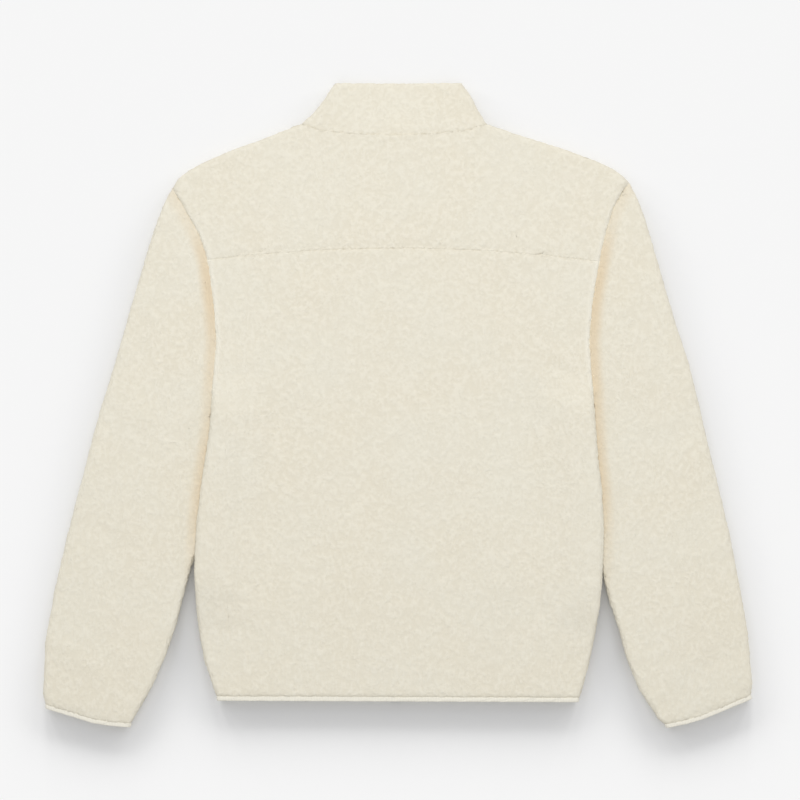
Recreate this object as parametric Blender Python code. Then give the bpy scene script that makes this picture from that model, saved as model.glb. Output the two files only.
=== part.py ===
"""Curly fleece jacket, laid flat with its back up and its zipped front on the surface.

Sizes and tables are in millimetres, and become metres when a mesh is made.
+X is the right of the laid garment, +Y runs towards the collar and +Z points up.
The origin is at the middle of the footprint, on the surface that the garment lies on.
"""

import math
from collections import namedtuple

import bmesh
import bpy
from mathutils import Vector

MILLIMETRE = 0.001

# Cloth
PILE_WALL = 4.5
LAYER_GAP = 3.4
SEAM_GAP = 0.3
SEAM_DIP = 1.8
SEAM_ROLL = 5.0
PRESSED_GAP = 0.5
FOLD_RADIUS = PILE_WALL + LAYER_GAP / 2

# Angles of the stations round a fold and beside a seam, in degrees
FOLD_ANGLES = (0.0, 35.0, 64.0)
SEAM_ANGLES = (0.0, 45.0)

# Where the body's side lies on the sleeve
SIDE_LIFT = 10.2
LIFT_REACH = 17.0
LIFT_FADE = 58.0
RIM_PLACES = (12.0, 19.0, 27.0, 36.0, 46.0)
UNDERARM_LEVEL = 16.0
PRESS_REACH = 2.0
PRESS_FADE = 28.0
FREE_FADE = 45.0

# Arched yoke seam across the back
YOKE_SEAM_TOP = 181.5
YOKE_SEAM_DROP = 14.5
YOKE_HALF_WIDTH = 226.0

# Hem and cuff bindings
HEM_LEVEL = -333.2
HEM_TILT = -0.004
HEM_BINDING_DEPTH = 6.0
HEM_BINDING_WALL = 3.0
HEM_BINDING_INSET = 1.0
CUFF_BINDING_DEPTH = 5.2
CUFF_BINDING_WALL = 2.8
CUFF_GAP = 2.6
BINDING_GAP = 3.8
BINDING_BASE = 0.2

# Fraction down a sleeve's middle line from which its cuff's direction is taken
CUFF_AIM = 0.97

# Collar
COLLAR_DROOP = 4.5

# Zip, in the groove between the two fronts
GROOVE_HALF = 5.5
TEETH_INNER = SEAM_GAP / 2
TEETH_OUTER = 3.0
TEETH_BOTTOM = 3.9
TEETH_TOP = 6.4
TAPE_INNER = TEETH_OUTER + SEAM_GAP
TAPE_OUTER = 14.0
TAPE_BOTTOM = PILE_WALL + SEAM_GAP
TAPE_TOP = TAPE_BOTTOM + 0.8
ZIP_BOTTOM = -336.0
TAPE_END = 296.0
SLIDER_TOP = 295.0
SLIDER_LENGTH = 12.0
SLIDER_HALF = 4.4
SLIDER_PLATE = 0.8
SLIDER_GRIP = 0.4
POST_HALF = 1.5
POST_LENGTH = 3.0
BAIL_HALF = 0.9
BAIL_REACH = 3.2
BAIL_WIRE = 0.6
BAIL_BOTTOM = 0.25
PULL_AXIS_HEIGHT = 1.75
PULL_AXIS_LEVEL = SLIDER_TOP - SLIDER_LENGTH / 2
PULL_THICKNESS = 1.1
PULL_HALF = 3.2
PULL_LENGTH = 30.0
WINDOW_HALF = 1.7
WINDOW_REACH = 4.3

Spot = namedtuple("Spot", "x y")
Fold = namedtuple("Fold", "x0 y0 x1 y1 width rise")
Station = namedtuple("Station", "anchor outer inner bend")
Row = namedtuple("Row", "left right side_fold roll butt")
Cloth = namedtuple("Cloth", "wall gap base relief split")
Side = namedtuple(
    "Side",
    "name sign shoulder edge sleeve_outer sleeve_inner cuff neck_front "
    "collar_side collar_front lift_start lift_end",
)

START, MIDDLE, END = 0, 1, 2

# Left side: each curve runs from the collar or shoulder towards the hem, cuff or zip
LEFT = Side(
    name="left",
    sign=-1,
    shoulder=(
        Spot(-259, 251), Spot(-250, 264), Spot(-228, 278), Spot(-198, 292),
        Spot(-158, 306), Spot(-131, 317), Spot(-110, 325),
    ),
    edge=(
        Spot(-259, 251), Spot(-248, 229), Spot(-235, 212), Spot(-226, 189),
        Spot(-218, 162), Spot(-212, 115), Spot(-209, 77), Spot(-211, 47),
        Spot(-213, 16), Spot(-216, -28), Spot(-222, -67), Spot(-229, -116),
        Spot(-233, -169), Spot(-233, -199), Spot(-229, -258), Spot(-220, -303),
        Spot(-209, -333),
    ),
    sleeve_outer=(
        Spot(-259, 251), Spot(-267, 237), Spot(-278, 209), Spot(-295, 154),
        Spot(-311, 99), Spot(-327, 44), Spot(-344, -11), Spot(-359, -67),
        Spot(-373, -122), Spot(-387, -177), Spot(-398.5, -232), Spot(-408, -287),
        Spot(-409.6, -320), Spot(-405, -343),
    ),
    sleeve_inner=(
        Spot(-213, 16), Spot(-215.6, -4), Spot(-217.2, -22), Spot(-211, -48), Spot(-209, -85),
        Spot(-218, -131), Spot(-229, -166), Spot(-239, -190), Spot(-250, -233),
        Spot(-259, -266), Spot(-275, -307), Spot(-292, -341), Spot(-307, -365),
    ),
    cuff=(Spot(-405, -343), Spot(-372, -353), Spot(-345, -361), Spot(-307, -365)),
    neck_front=(
        Spot(-110, 325), Spot(-104, 300), Spot(-84, 272), Spot(-50, 254),
        Spot(-GROOVE_HALF, 248),
    ),
    collar_side=(
        Spot(-72, 371.5), Spot(-84, 354), Spot(-94, 340), Spot(-104, 331), Spot(-110, 325),
    ),
    collar_front=(
        Spot(-72, 371.5), Spot(-70, 348), Spot(-58, 320), Spot(-36, 304),
        Spot(-GROOVE_HALF, 298),
    ),
    lift_start=(64.0, -16.0),
    lift_end=(-190.0, -266.0),
)
RIGHT = Side(
    name="right",
    sign=1,
    shoulder=(
        Spot(267, 257), Spot(256, 268), Spot(238, 278), Spot(203, 292),
        Spot(159, 306), Spot(125, 317), Spot(103, 325),
    ),
    edge=(
        Spot(267, 257), Spot(257, 243), Spot(246, 221), Spot(238, 191),
        Spot(229, 145), Spot(222, 94), Spot(222, 53), Spot(225, 16),
        Spot(228, -28), Spot(231, -67), Spot(236, -108), Spot(237, -154),
        Spot(235, -198), Spot(231, -243), Spot(223, -286), Spot(217, -315),
        Spot(210, -335),
    ),
    sleeve_outer=(
        Spot(267, 257), Spot(277, 237), Spot(287, 209), Spot(303, 154),
        Spot(319, 99), Spot(337, 44), Spot(350, -11), Spot(363, -67),
        Spot(377, -122), Spot(388, -177), Spot(399, -232), Spot(407, -287),
        Spot(408.6, -316), Spot(407, -332),
    ),
    sleeve_inner=(
        Spot(225, 16), Spot(228, -4), Spot(229.4, -22), Spot(224, -48), Spot(220, -85),
        Spot(226, -131), Spot(233, -166), Spot(238, -206), Spot(252, -248),
        Spot(267, -301), Spot(284, -338), Spot(296, -357), Spot(308, -366),
    ),
    cuff=(Spot(407, -332), Spot(376, -345), Spot(343, -358), Spot(308, -366)),
    neck_front=(
        Spot(103, 325), Spot(98, 300), Spot(80, 272), Spot(48, 254),
        Spot(GROOVE_HALF, 248),
    ),
    collar_side=(
        Spot(74, 371.5), Spot(86, 354), Spot(93, 340), Spot(98, 331), Spot(103, 325),
    ),
    collar_front=(
        Spot(74, 371.5), Spot(71, 348), Spot(58, 320), Spot(36, 304),
        Spot(GROOVE_HALF, 298),
    ),
    lift_start=(64.0, -16.0),
    lift_end=(-207.0, -280.0),
)
SIDES = (LEFT, RIGHT)

# Neck seam at the back, from left to right
NECK_BACK = (
    Spot(-110, 325), Spot(-89, 317), Spot(-43, 313), Spot(3, 312),
    Spot(49, 314), Spot(85, 318), Spot(103, 325),
)

# Stations shared by pieces that meet: parts of a seam, or of the stretch between two rolls
NECK_PARTS = (0.035, 0.1, 0.22, 0.36, 0.5, 0.64, 0.78, 0.9, 0.965)
FRONT_NECK_PARTS = (0.06, 0.14, 0.3, 0.5, 0.7, 0.86)
SHOULDER_PARTS = (0.3, 0.53, 0.77, 1.0)
YOKE_PARTS = (0.0, 0.32, 0.66, 1.0)
ARMHOLE_PARTS = (0.0, 0.3, 0.6, 0.86)
FLANK_PARTS = (0.0, 0.04, 0.085, 0.14, 0.22, 0.32, 0.43, 0.53, 0.59, 0.64, 0.7, 0.79, 0.89, 1.0)
SLEEVE_PARTS = (
    0.0, 0.012, 0.04, 0.08, 0.13, 0.2, 0.28, 0.36,
    0.44, 0.52, 0.6, 0.69, 0.78, 0.88, 0.98, 1.0,
)
COLLAR_PARTS = (0.0, 0.05, 0.35, 0.68, 0.94, 1.0)
BINDING_PARTS = (0.0, 0.6, 1.0)
BINDING_BACK_PARTS = (0.1, 0.2, 0.3, 0.4, 0.5, 0.6, 0.7, 0.8, 0.9)
BINDING_FRONT_PARTS = (0.25, 0.5, 0.75, 1.0)

# Soft folds of the upper layer: the line's two ends, its half width and its rise
FOLDS = (
    Fold(48, 292, 34, 236, 12, 0.9),
    Fold(-66, 290, -92, 246, 13, -0.9),
    Fold(-190, 60, -128, 22, 17, 0.8),
    Fold(196, 40, 140, -8, 18, -0.9),
    Fold(-186, -120, -96, -168, 24, -1.0),
    Fold(70, -60, 92, -190, 26, 0.7),
    Fold(184, -150, 120, -206, 22, 0.9),
    Fold(-60, -230, -72, -316, 16, -0.9),
    Fold(44, -262, 50, -320, 15, -0.8),
    Fold(150, -262, 158, -322, 15, 0.8),
    Fold(-168, -250, -160, -320, 15, 0.9),
    Fold(-300, 70, -250, 44, 17, -1.0),
    Fold(-352, -70, -292, -94, 18, 0.9),
    Fold(-380, -210, -310, -236, 17, -1.0),
    Fold(308, 60, 262, 26, 17, 0.9),
    Fold(360, -90, 296, -118, 18, -1.0),
    Fold(384, -226, 316, -250, 17, 0.9),
)

Finish = namedtuple("Finish", "colour roughness metallic")
FINISHES = {
    "fleece": Finish((0.80, 0.74, 0.62), 0.95, 0.0),
    "elastic": Finish((0.78, 0.75, 0.67), 0.80, 0.0),
    "zip_tape": Finish((0.76, 0.71, 0.60), 0.85, 0.0),
    "zip_teeth": Finish((0.80, 0.77, 0.68), 0.45, 0.0),
    "zip_metal": Finish((0.62, 0.61, 0.58), 0.35, 1.0),
}


def clear_scene():
    """Remove every object, so that the file holds this garment alone."""
    for item in list(bpy.data.objects):
        bpy.data.objects.remove(item, do_unlink=True)


def make_material(name, finish):
    """A Principled material with the piece's colour, roughness and metallic value."""
    values = FINISHES[finish]
    material = bpy.data.materials.new(f"{name}_{finish}")
    material.use_nodes = True
    shader = material.node_tree.nodes["Principled BSDF"]
    shader.inputs["Base Color"].default_value = (*values.colour, 1.0)
    shader.inputs["Roughness"].default_value = values.roughness
    shader.inputs["Metallic"].default_value = values.metallic
    return material


def mix(low, high, share):
    """Value between low and high."""
    return low + (high - low) * share


def ease(value):
    """Smooth step from 0 to 1."""
    value = min(max(value, 0.0), 1.0)
    return value * value * (3.0 - 2.0 * value)


class Path:
    """A smooth plan curve through a table's points, read by distance from its start."""

    STEPS = 12

    def __init__(self, spots):
        self.points = self.soften([Vector((spot.x, spot.y)) for spot in spots])
        self.marks = [0.0]
        for before, after in zip(self.points, self.points[1:]):
            self.marks.append(self.marks[-1] + (after - before).length)
        self.length = self.marks[-1]

    def soften(self, points):
        """Points of a Catmull-Rom curve."""
        padded = [points[0] * 2 - points[1], *points, points[-1] * 2 - points[-2]]
        dense = []
        for index in range(1, len(padded) - 2):
            before, here, there, after = padded[index - 1:index + 3]
            for step in range(self.STEPS):
                t = step / self.STEPS
                square = (before * 2 - here * 5 + there * 4 - after) * t ** 2
                cube = (here * 3 - before - there * 3 + after) * t ** 3
                dense.append((here * 2 + (there - before) * t + square + cube) / 2)
        dense.append(points[-1])
        return dense

    def at(self, distance):
        """Point at a distance along the curve."""
        distance = min(max(distance, 0.0), self.length)
        for index in range(1, len(self.marks)):
            if self.marks[index] >= distance:
                span = self.marks[index] - self.marks[index - 1]
                share = (distance - self.marks[index - 1]) / span
                return self.points[index - 1].lerp(self.points[index], share)
        return self.points[-1].copy()

    def part(self, fraction):
        """Point at a fraction of the length."""
        return self.at(fraction * self.length)

    def cross(self, level):
        """Place across the plan at which a curve that runs downwards meets a level."""
        for high, low in zip(self.points, self.points[1:]):
            if low.y <= level < high.y:
                return mix(high.x, low.x, (high.y - level) / (high.y - low.y))
        return self.points[-1].x if level < self.points[-1].y else self.points[0].x

    def stretch(self, low, high, shift=(0.0, 0.0)):
        """The curve between two distances, as a function of a fraction, moved by a shift."""
        return lambda fraction: self.at(mix(low, high, fraction)) + Vector(shift)


def straight(first, last):
    """A straight edge as a function of a fraction."""
    return lambda fraction: Vector(first).lerp(Vector(last), fraction)


class Patch:
    """Plan surface between four edges: top and bottom run across, left and right run down."""

    def __init__(self, top, bottom, left, right):
        self.top, self.bottom, self.left, self.right = top, bottom, left, right

    def at(self, across, down):
        """Point of the surface at two fractions."""
        ruled = self.top(across).lerp(self.bottom(across), down)
        sides = self.left(down).lerp(self.right(down), across)
        upper = self.top(0.0).lerp(self.top(1.0), across)
        lower = self.bottom(0.0).lerp(self.bottom(1.0), across)
        return ruled + sides - upper.lerp(lower, down)

    def width(self, down, parts=48):
        """Length of the line across at one fraction down."""
        line = [self.at(index / parts, down) for index in range(parts + 1)]
        return sum((after - before).length for before, after in zip(line, line[1:]))

    def height(self, across):
        """Straight length from top to bottom at one fraction across."""
        return (self.bottom(across) - self.top(across)).length


def roll_places(radius=FOLD_RADIUS, wall=PILE_WALL, anchor=START):
    """Stations round a fold: how far the outer and the inner skin are from its edge."""
    stations = []
    for angle in FOLD_ANGLES:
        turn = math.radians(angle)
        outer = radius * (1.0 - math.cos(turn))
        inner = wall + (radius - wall) * (1.0 - math.cos(turn))
        stations.append(Station(anchor, outer, inner, math.sin(turn)))
    stations.append(Station(anchor, radius, radius, 1.0))
    return stations


def flat_places(anchor, places):
    """Stations on the flat, at distances from an end or at parts of the middle."""
    return [Station(anchor, place, place, 1.0) for place in places]


def mirrored(stations):
    """The same stations counted from the far end."""
    return [station._replace(anchor=END) for station in reversed(stations)]


def seam_rows():
    """Distance from a butted seam and seam factor, for the rows beside it."""
    return [(SEAM_ROLL * (1.0 - math.cos(math.radians(angle))), 1.0 - math.sin(math.radians(angle)))
            for angle in SEAM_ANGLES]


def locate(station, length, reaches, fold):
    """Fractions of a line at which the outer and the inner skin meet a station."""
    if station.anchor == MIDDLE:
        place = mix(reaches[0], length - reaches[1], station.outer) / length
        return place, place
    outer = station.outer / length
    inner = mix(station.outer, station.inner, fold) / length
    if station.anchor == START:
        return outer, inner
    return 1.0 - outer, 1.0 - inner


def skin_heights(cloth, base, gap, bend, press, dip):
    """Heights of the outer and inner skin of the lower and of the upper layer.

    bend is 1 on the flat and 0 at the edge of a fold, where the layers meet.
    press closes the gap between the layers, and dip lowers the pile beside a seam.
    """
    gap = mix(gap, min(gap, PRESSED_GAP), press)
    half = cloth.wall + gap / 2
    middle = base + half
    lower = (min(middle - half * bend, middle - cloth.split),
             min(middle - gap / 2 * bend, middle - cloth.split))
    upper = (max(middle + (half - SEAM_DIP * dip) * bend, middle + cloth.split),
             max(middle + gap / 2 * bend, middle + cloth.split))
    return lower, upper


def fold_relief(point):
    """Rise of the upper layer at a plan point, summed over the table of soft folds."""
    rise = 0.0
    for fold in FOLDS:
        start = Vector((fold.x0, fold.y0))
        run = Vector((fold.x1, fold.y1)) - start
        share = (point - start).dot(run) / run.length_squared
        near = start + run * min(max(share, 0.0), 1.0)
        rise += fold.rise * math.exp(-((point - near).length / fold.width) ** 2)
    return rise


def no_relief(point):
    """A surface with no folds of its own."""
    return 0.0


def layer_grid(patch, rows, columns, reaches, upper, cloth, top_folds=None):
    """Outer and inner skin of one layer, as two grids of points, rows by columns.

    top_folds holds, for each column, 1 where the patch's top edge is a fold and 0 where it is butted.
    """
    outer_grid, inner_grid = [], []
    for row in rows:
        width = patch.width((row.left + row.right) / 2)
        outer_line, inner_line = [], []
        for index, station in enumerate(columns):
            across = locate(station, width, reaches, row.side_fold)
            bend = mix(1.0, station.bend, row.side_fold)
            press = (1.0 - row.side_fold) * (1.0 - station.bend)
            down = [mix(row.left, row.right, place) for place in across]
            if row.roll is not None:
                top_fold = top_folds[index]
                down = locate(row.roll, patch.height(across[0]), (0.0, 0.0), top_fold)
                bend *= mix(1.0, row.roll.bend, top_fold)
            dip = 1.0 - (1.0 - press) * (1.0 - row.butt)
            for skin, line in ((0, outer_line), (1, inner_line)):
                point = patch.at(across[skin], down[skin])
                reach = (across[skin] * width, (1.0 - across[skin]) * width)
                base, gap = cloth.base(point, reach), cloth.gap(point, reach)
                height = skin_heights(cloth, base, gap, bend, press, dip)[int(upper)][skin]
                if upper:
                    height += cloth.relief(point) * bend * (1.0 - press)
                line.append(Vector((point.x, point.y, height)))
        outer_grid.append(outer_line)
        inner_grid.append(inner_line)
    return outer_grid, inner_grid


def join_rows(*parts):
    """Grids set side by side, row by row."""
    return [sum((list(line) for line in lines), []) for lines in zip(*parts)]


def build_wall(name, finish, outer, inner, closed=False):
    """One closed wall of cloth from two grids of points, joined round their borders."""
    rows, columns = len(outer), len(outer[0])
    mesh = bmesh.new()
    top = [[mesh.verts.new(point * MILLIMETRE) for point in line] for line in outer]
    under = [[mesh.verts.new(point * MILLIMETRE) for point in line] for line in inner]
    spans = columns if closed else columns - 1
    for column in range(spans):
        beside = (column + 1) % columns
        for row in range(rows - 1):
            for skin in (top, under):
                mesh.faces.new((skin[row][column], skin[row + 1][column],
                                skin[row + 1][beside], skin[row][beside]))
        for row in (0, rows - 1):
            mesh.faces.new((top[row][column], top[row][beside],
                            under[row][beside], under[row][column]))
    if not closed:
        for column in (0, columns - 1):
            for row in range(rows - 1):
                mesh.faces.new((top[row][column], under[row][column],
                                under[row + 1][column], top[row + 1][column]))
    bmesh.ops.recalc_face_normals(mesh, faces=mesh.faces)
    return add_piece(name, finish, mesh)


def add_piece(name, finish, mesh, parent=None, guide=False):
    """Put a bmesh into the scene as a named object with its own material."""
    data = bpy.data.meshes.new(name)
    mesh.to_mesh(data)
    mesh.free()
    data.materials.append(make_material(name, finish))
    data.shade_smooth()
    data.set_sharp_from_angle(angle=math.radians(50.0))
    piece = bpy.data.objects.new(name, data)
    piece.parent = parent
    bpy.context.scene.collection.objects.link(piece)
    if guide:
        piece.hide_render = True
        piece.display_type = "WIRE"
    return piece


def box(low, high):
    """Bmesh of a box between two corners given in millimetres."""
    mesh = bmesh.new()
    bmesh.ops.create_cube(mesh, size=1.0)
    for vert in mesh.verts:
        for axis in range(3):
            vert.co[axis] = mix(low[axis], high[axis], vert.co[axis] + 0.5) * MILLIMETRE
    return mesh


def combine(piece, guide, operation):
    """Unite a piece with a hidden guide, or cut it by one."""
    change = piece.modifiers.new(guide.name, "BOOLEAN")
    change.operation = operation
    change.solver = "EXACT"
    change.object = guide


class Outline:
    """The garment's plan curves, and the stations at which its pieces meet."""

    def __init__(self):
        self.edges = [Path(side.edge) for side in SIDES]
        self.shoulders = [Path(side.shoulder) for side in SIDES]
        self.neck_fronts = [Path(side.neck_front) for side in SIDES]
        self.neck = Path(NECK_BACK)
        self.totals = [edge.length for edge in self.edges]
        self.yoke_ends = [self.reach_below(edge, self.yoke_level) for edge in self.edges]
        self.arm_ends = [self.reach_below(edge, lambda x: UNDERARM_LEVEL) for edge in self.edges]
        self.plan_rows()
        self.plan_columns()

    def yoke_level(self, x):
        """Level of the arched yoke seam."""
        return YOKE_SEAM_TOP - YOKE_SEAM_DROP * (x / YOKE_HALF_WIDTH) ** 2

    def seam_line(self, first, last, shift=0.0):
        """Stretch of the yoke seam between two places, moved up or down by a shift."""
        def line(across):
            x = mix(first, last, across)
            return Vector((x, self.yoke_level(x) + shift))
        return line

    def hem_point(self, x, drop=0.0):
        """Point on the fleece's lower edge, or a little below it."""
        return Vector((x, HEM_LEVEL + HEM_TILT * (x + YOKE_HALF_WIDTH) - drop))

    def reach_below(self, edge, level_at, step=0.25):
        """Distance down the body's edge at which it comes to the level of a line across."""
        reach = 0.0
        while edge.at(reach).y > level_at(edge.at(reach).x):
            reach += step
        return reach

    def plan_rows(self):
        """Distances down both edges at which the rows of all body pieces end."""
        rolls = [station.outer for station in roll_places()]
        beside = [place for place, _ in seam_rows()]
        self.places = []
        for index in (0, 1):
            yoke, arm, total = self.yoke_ends[index], self.arm_ends[index], self.totals[index]
            above = [mix(FOLD_RADIUS, yoke - SEAM_ROLL, part) for part in YOKE_PARTS[1:]]
            above += [yoke - place for place in reversed(beside)]
            below = [yoke + place for place in beside[1:]]
            below += [mix(yoke + SEAM_ROLL, arm, part) for part in ARMHOLE_PARTS]
            flank = [mix(arm, total - SEAM_ROLL, part) for part in FLANK_PARTS]
            flank += [total - place for place in reversed(beside)]
            self.places.append(rolls + above + below + flank)
            self.yoke_row = len(rolls) + len(above) - 1
            self.arm_row = len(rolls) + len(above) + len(below)

    def plan_columns(self):
        """Columns of the back and of the fronts, which share their places on the shoulders."""
        self.rim = roll_places() + flat_places(START, RIM_PLACES[:-1])
        reach = RIM_PLACES[-1]
        self.top_length = sum(path.length for path in self.shoulders) + self.neck.length
        start = reach / self.top_length
        self.neck_start = self.shoulders[0].length / self.top_length
        shoulder = [mix(start, self.neck_start, part) for part in (0.0, *SHOULDER_PARTS)]
        neck = [mix(self.neck_start, 1.0 - self.neck_start, part) for part in NECK_PARTS]
        across = shoulder + neck + [1.0 - place for place in reversed(shoulder)]
        inside = [(place - start) / (1.0 - 2.0 * start) for place in across]
        self.back_columns = self.rim + flat_places(MIDDLE, inside) + mirrored(self.rim)
        self.shoulder_count = len(self.rim) + len(shoulder)
        self.front_columns = []
        for index in (0, 1):
            length = self.shoulders[0].length + self.neck_fronts[index].length
            front = [place * self.top_length for place in shoulder]
            front += [self.shoulders[0].length + part * self.neck_fronts[index].length
                      for part in (*FRONT_NECK_PARTS, 1.0)]
            inside = [(place - reach) / (length - reach) for place in front]
            self.front_columns.append(self.rim + flat_places(MIDDLE, inside))

    def body_rows(self, first, last, starts, ends, seam_starts, seam_ends):
        """Rows of one body piece between two shared rows, as fractions of its own edges."""
        beside = [butt for _, butt in seam_rows()]
        rolls = roll_places()
        rows = []
        for row in range(first, last + 1):
            left, right = [(self.places[index][row] - starts[index]) / (ends[index] - starts[index])
                           for index in (0, 1)]
            butt = 0.0
            if seam_starts and row - first < len(beside):
                butt = beside[row - first]
            if seam_ends and last - row < len(beside):
                butt = beside[last - row]
            roll = rolls[row] if first == 0 and row < len(rolls) else None
            rows.append(Row(left, right, float(row > self.arm_row), roll, butt))
        return rows

    def lift(self, index, level, distance):
        """How far a side is raised by the sleeve that lies under it."""
        side = SIDES[index]
        rise = ease((side.lift_start[0] - level) / (side.lift_start[0] - side.lift_start[1]))
        fall = ease((side.lift_end[0] - level) / (side.lift_end[0] - side.lift_end[1]))
        return SIDE_LIFT * rise * (1.0 - fall) * (1.0 - ease((distance - LIFT_REACH) / LIFT_FADE))


def layer_gap(point, reach):
    """Plain air gap between two layers."""
    return LAYER_GAP


def build_back(outline):
    """Yoke and back panel: the upper layer of the body, split at the arched seam."""
    shoulders, neck = outline.shoulders, outline.neck
    start = outline.neck_start
    half_gap = SEAM_GAP / 2

    def yoke_top(across):
        if across <= start:
            return shoulders[0].part(across / start)
        if across >= 1.0 - start:
            return shoulders[1].part((1.0 - across) / start)
        return neck.part((across - start) / (1.0 - 2.0 * start)) - Vector((0.0, half_gap))

    def hem_line(across):
        ends = [edge.points[-1].x for edge in outline.edges]
        return outline.hem_point(mix(ends[0], ends[1], across))

    def edge_lines(lows, highs):
        return [edge.stretch(low, high, (-side.sign * half_gap, 0.0))
                for side, edge, low, high in zip(SIDES, outline.edges, lows, highs)]

    def base(point, reach):
        return max(outline.lift(index, point.y, reach[index]) for index in (0, 1))

    cloth = Cloth(PILE_WALL, layer_gap, base, fold_relief, half_gap)
    reaches = (RIM_PLACES[-1], RIM_PLACES[-1])
    columns = outline.back_columns
    count = outline.shoulder_count
    top_folds = [float(index < count or index >= len(columns) - count)
                 for index in range(len(columns))]
    tops = (0.0, 0.0)
    ends = [edge.at(reach).x for edge, reach in zip(outline.edges, outline.yoke_ends)]
    above = [reach - half_gap for reach in outline.yoke_ends]
    below = [reach + half_gap for reach in outline.yoke_ends]
    yoke = Patch(yoke_top, outline.seam_line(*ends, half_gap), *edge_lines(tops, above))
    yoke_rows = outline.body_rows(0, outline.yoke_row, tops, outline.yoke_ends, False, True)
    grids = layer_grid(yoke, yoke_rows, columns, reaches, True, cloth, top_folds)
    build_wall("back_yoke", "fleece", *grids)

    last = len(outline.places[0]) - 1
    back = Patch(outline.seam_line(*ends, -half_gap), hem_line, *edge_lines(below, outline.totals))
    back_rows = outline.body_rows(
        outline.yoke_row, last, outline.yoke_ends, outline.totals, True, True)
    grids = layer_grid(back, back_rows, columns, reaches, True, cloth)
    build_wall("back_panel", "fleece", *grids)


def build_front(outline, index):
    """One front: the lower layer of the body, from the side to the zip's groove."""
    side = SIDES[index]
    shoulder, neck = outline.shoulders[index], outline.neck_fronts[index]
    length = outline.shoulders[0].length + neck.length
    start = outline.shoulders[0].length / length
    half_gap = SEAM_GAP / 2
    away = Vector((side.sign * half_gap, -half_gap))

    def front_top(across):
        if across <= start:
            return shoulder.part(across / start)
        return neck.part((across - start) / (1.0 - start)) + away

    def hem_line(across):
        return outline.hem_point(mix(outline.edges[index].points[-1].x, side.sign * GROOVE_HALF, across))

    def base(point, reach):
        return outline.lift(index, point.y, reach[0])

    edge, total, yoke_end = outline.edges[index], outline.totals[index], outline.yoke_ends[index]
    shift = (-side.sign * half_gap, 0.0)
    level_line = outline.seam_line(edge.at(yoke_end).x, side.sign * GROOVE_HALF)
    chest = Patch(front_top, level_line, edge.stretch(0.0, yoke_end, shift),
                  straight(front_top(1.0), level_line(1.0)))
    waist = Patch(level_line, hem_line, edge.stretch(yoke_end, total, shift),
                  straight(level_line(1.0), hem_line(1.0)))
    columns = outline.front_columns[index]
    top_folds = [float(column < outline.shoulder_count) for column in range(len(columns))]
    cloth = Cloth(PILE_WALL, layer_gap, base, no_relief, half_gap)
    reaches = (RIM_PLACES[-1], 0.0)
    last = len(outline.places[0]) - 1
    stretches = ((chest, 0, outline.yoke_row, (0.0, 0.0), outline.yoke_ends),
                 (waist, outline.yoke_row, last, outline.yoke_ends, outline.totals))
    skins = ([], [])
    for patch, first_row, last_row, starts, ends in stretches:
        rows = [row._replace(left=(row.left, row.right)[index], right=(row.left, row.right)[index])
                for row in outline.body_rows(first_row, last_row, starts, ends, False, False)]
        grids = layer_grid(patch, rows, columns, reaches, False, cloth, top_folds)
        for skin, grid in zip(skins, grids):
            skin.extend(grid[1:] if skin else grid)
    build_wall(f"front_{side.name}", "fleece", *skins)


def build_tube(name, finish, patch, rows, columns, reaches, cloth):
    """A flattened tube: both layers of one patch, joined at its two folds."""
    upper = layer_grid(patch, rows, columns, reaches, True, cloth)
    lower = layer_grid(patch, rows, columns, reaches, False, cloth)
    skins = []
    for high, low in zip(upper, lower):
        back = [list(reversed(line[1:-1])) for line in low]
        skins.append(join_rows(high, back))
    build_wall(name, finish, *skins, closed=True)


def tube_rows(parts, seams=True):
    """Rows of a tube at plain parts of its length, with the pile pulled down at both ends."""
    last = len(parts) - 1
    return [Row(part, part, 1.0, None, float(seams and index in (0, last)))
            for index, part in enumerate(parts)]


def build_sleeve(outline, index):
    """One set-in sleeve, from the armhole seam to the cuff, with its inner edge under the body."""
    side = SIDES[index]
    half_gap = SEAM_GAP / 2
    arm = outline.arm_ends[index]
    outer, inner, cuff = Path(side.sleeve_outer), Path(side.sleeve_inner), Path(side.cuff)
    cuff_level = cuff.part(0.5).y
    shift = (side.sign * half_gap, 0.0)
    patch = Patch(
        outline.edges[index].stretch(0.0, arm, shift), cuff.part,
        outer.stretch(0.0, outer.length, shift), inner.stretch(0.0, inner.length, shift),
    )

    edge = outline.edges[index]

    def gap(point, reach):
        outside = side.sign * (point.x - edge.cross(point.y))
        beside = ease((outside - PRESS_REACH) / PRESS_FADE)
        free = ease((side.lift_end[0] - point.y) / FREE_FADE)
        clear = 1.0 - ease((cuff_level - point.y + FREE_FADE) / FREE_FADE)
        return mix(PRESSED_GAP, mix(CUFF_GAP, LAYER_GAP, clear), max(beside, free))

    fold = roll_places()
    places = [place for place in outline.places[index] if FOLD_RADIUS < place < arm - FOLD_RADIUS]
    inside = [(place - FOLD_RADIUS) / (arm - 2.0 * FOLD_RADIUS) for place in places]
    columns = fold + flat_places(MIDDLE, inside) + mirrored(fold)
    cloth = Cloth(PILE_WALL, gap, flat_base(0.0), fold_relief, 0.0)
    rows = tube_rows(SLEEVE_PARTS)
    name = f"sleeve_{side.name}"
    build_tube(name, "fleece", patch, rows, columns, (FOLD_RADIUS, FOLD_RADIUS), cloth)
    build_cuff_binding(side, patch, inside)


def flat_base(height):
    """An underside at one height."""
    return lambda point, reach: height


def plain_gap(gap):
    """One air gap everywhere."""
    return lambda point, reach: gap


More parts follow.
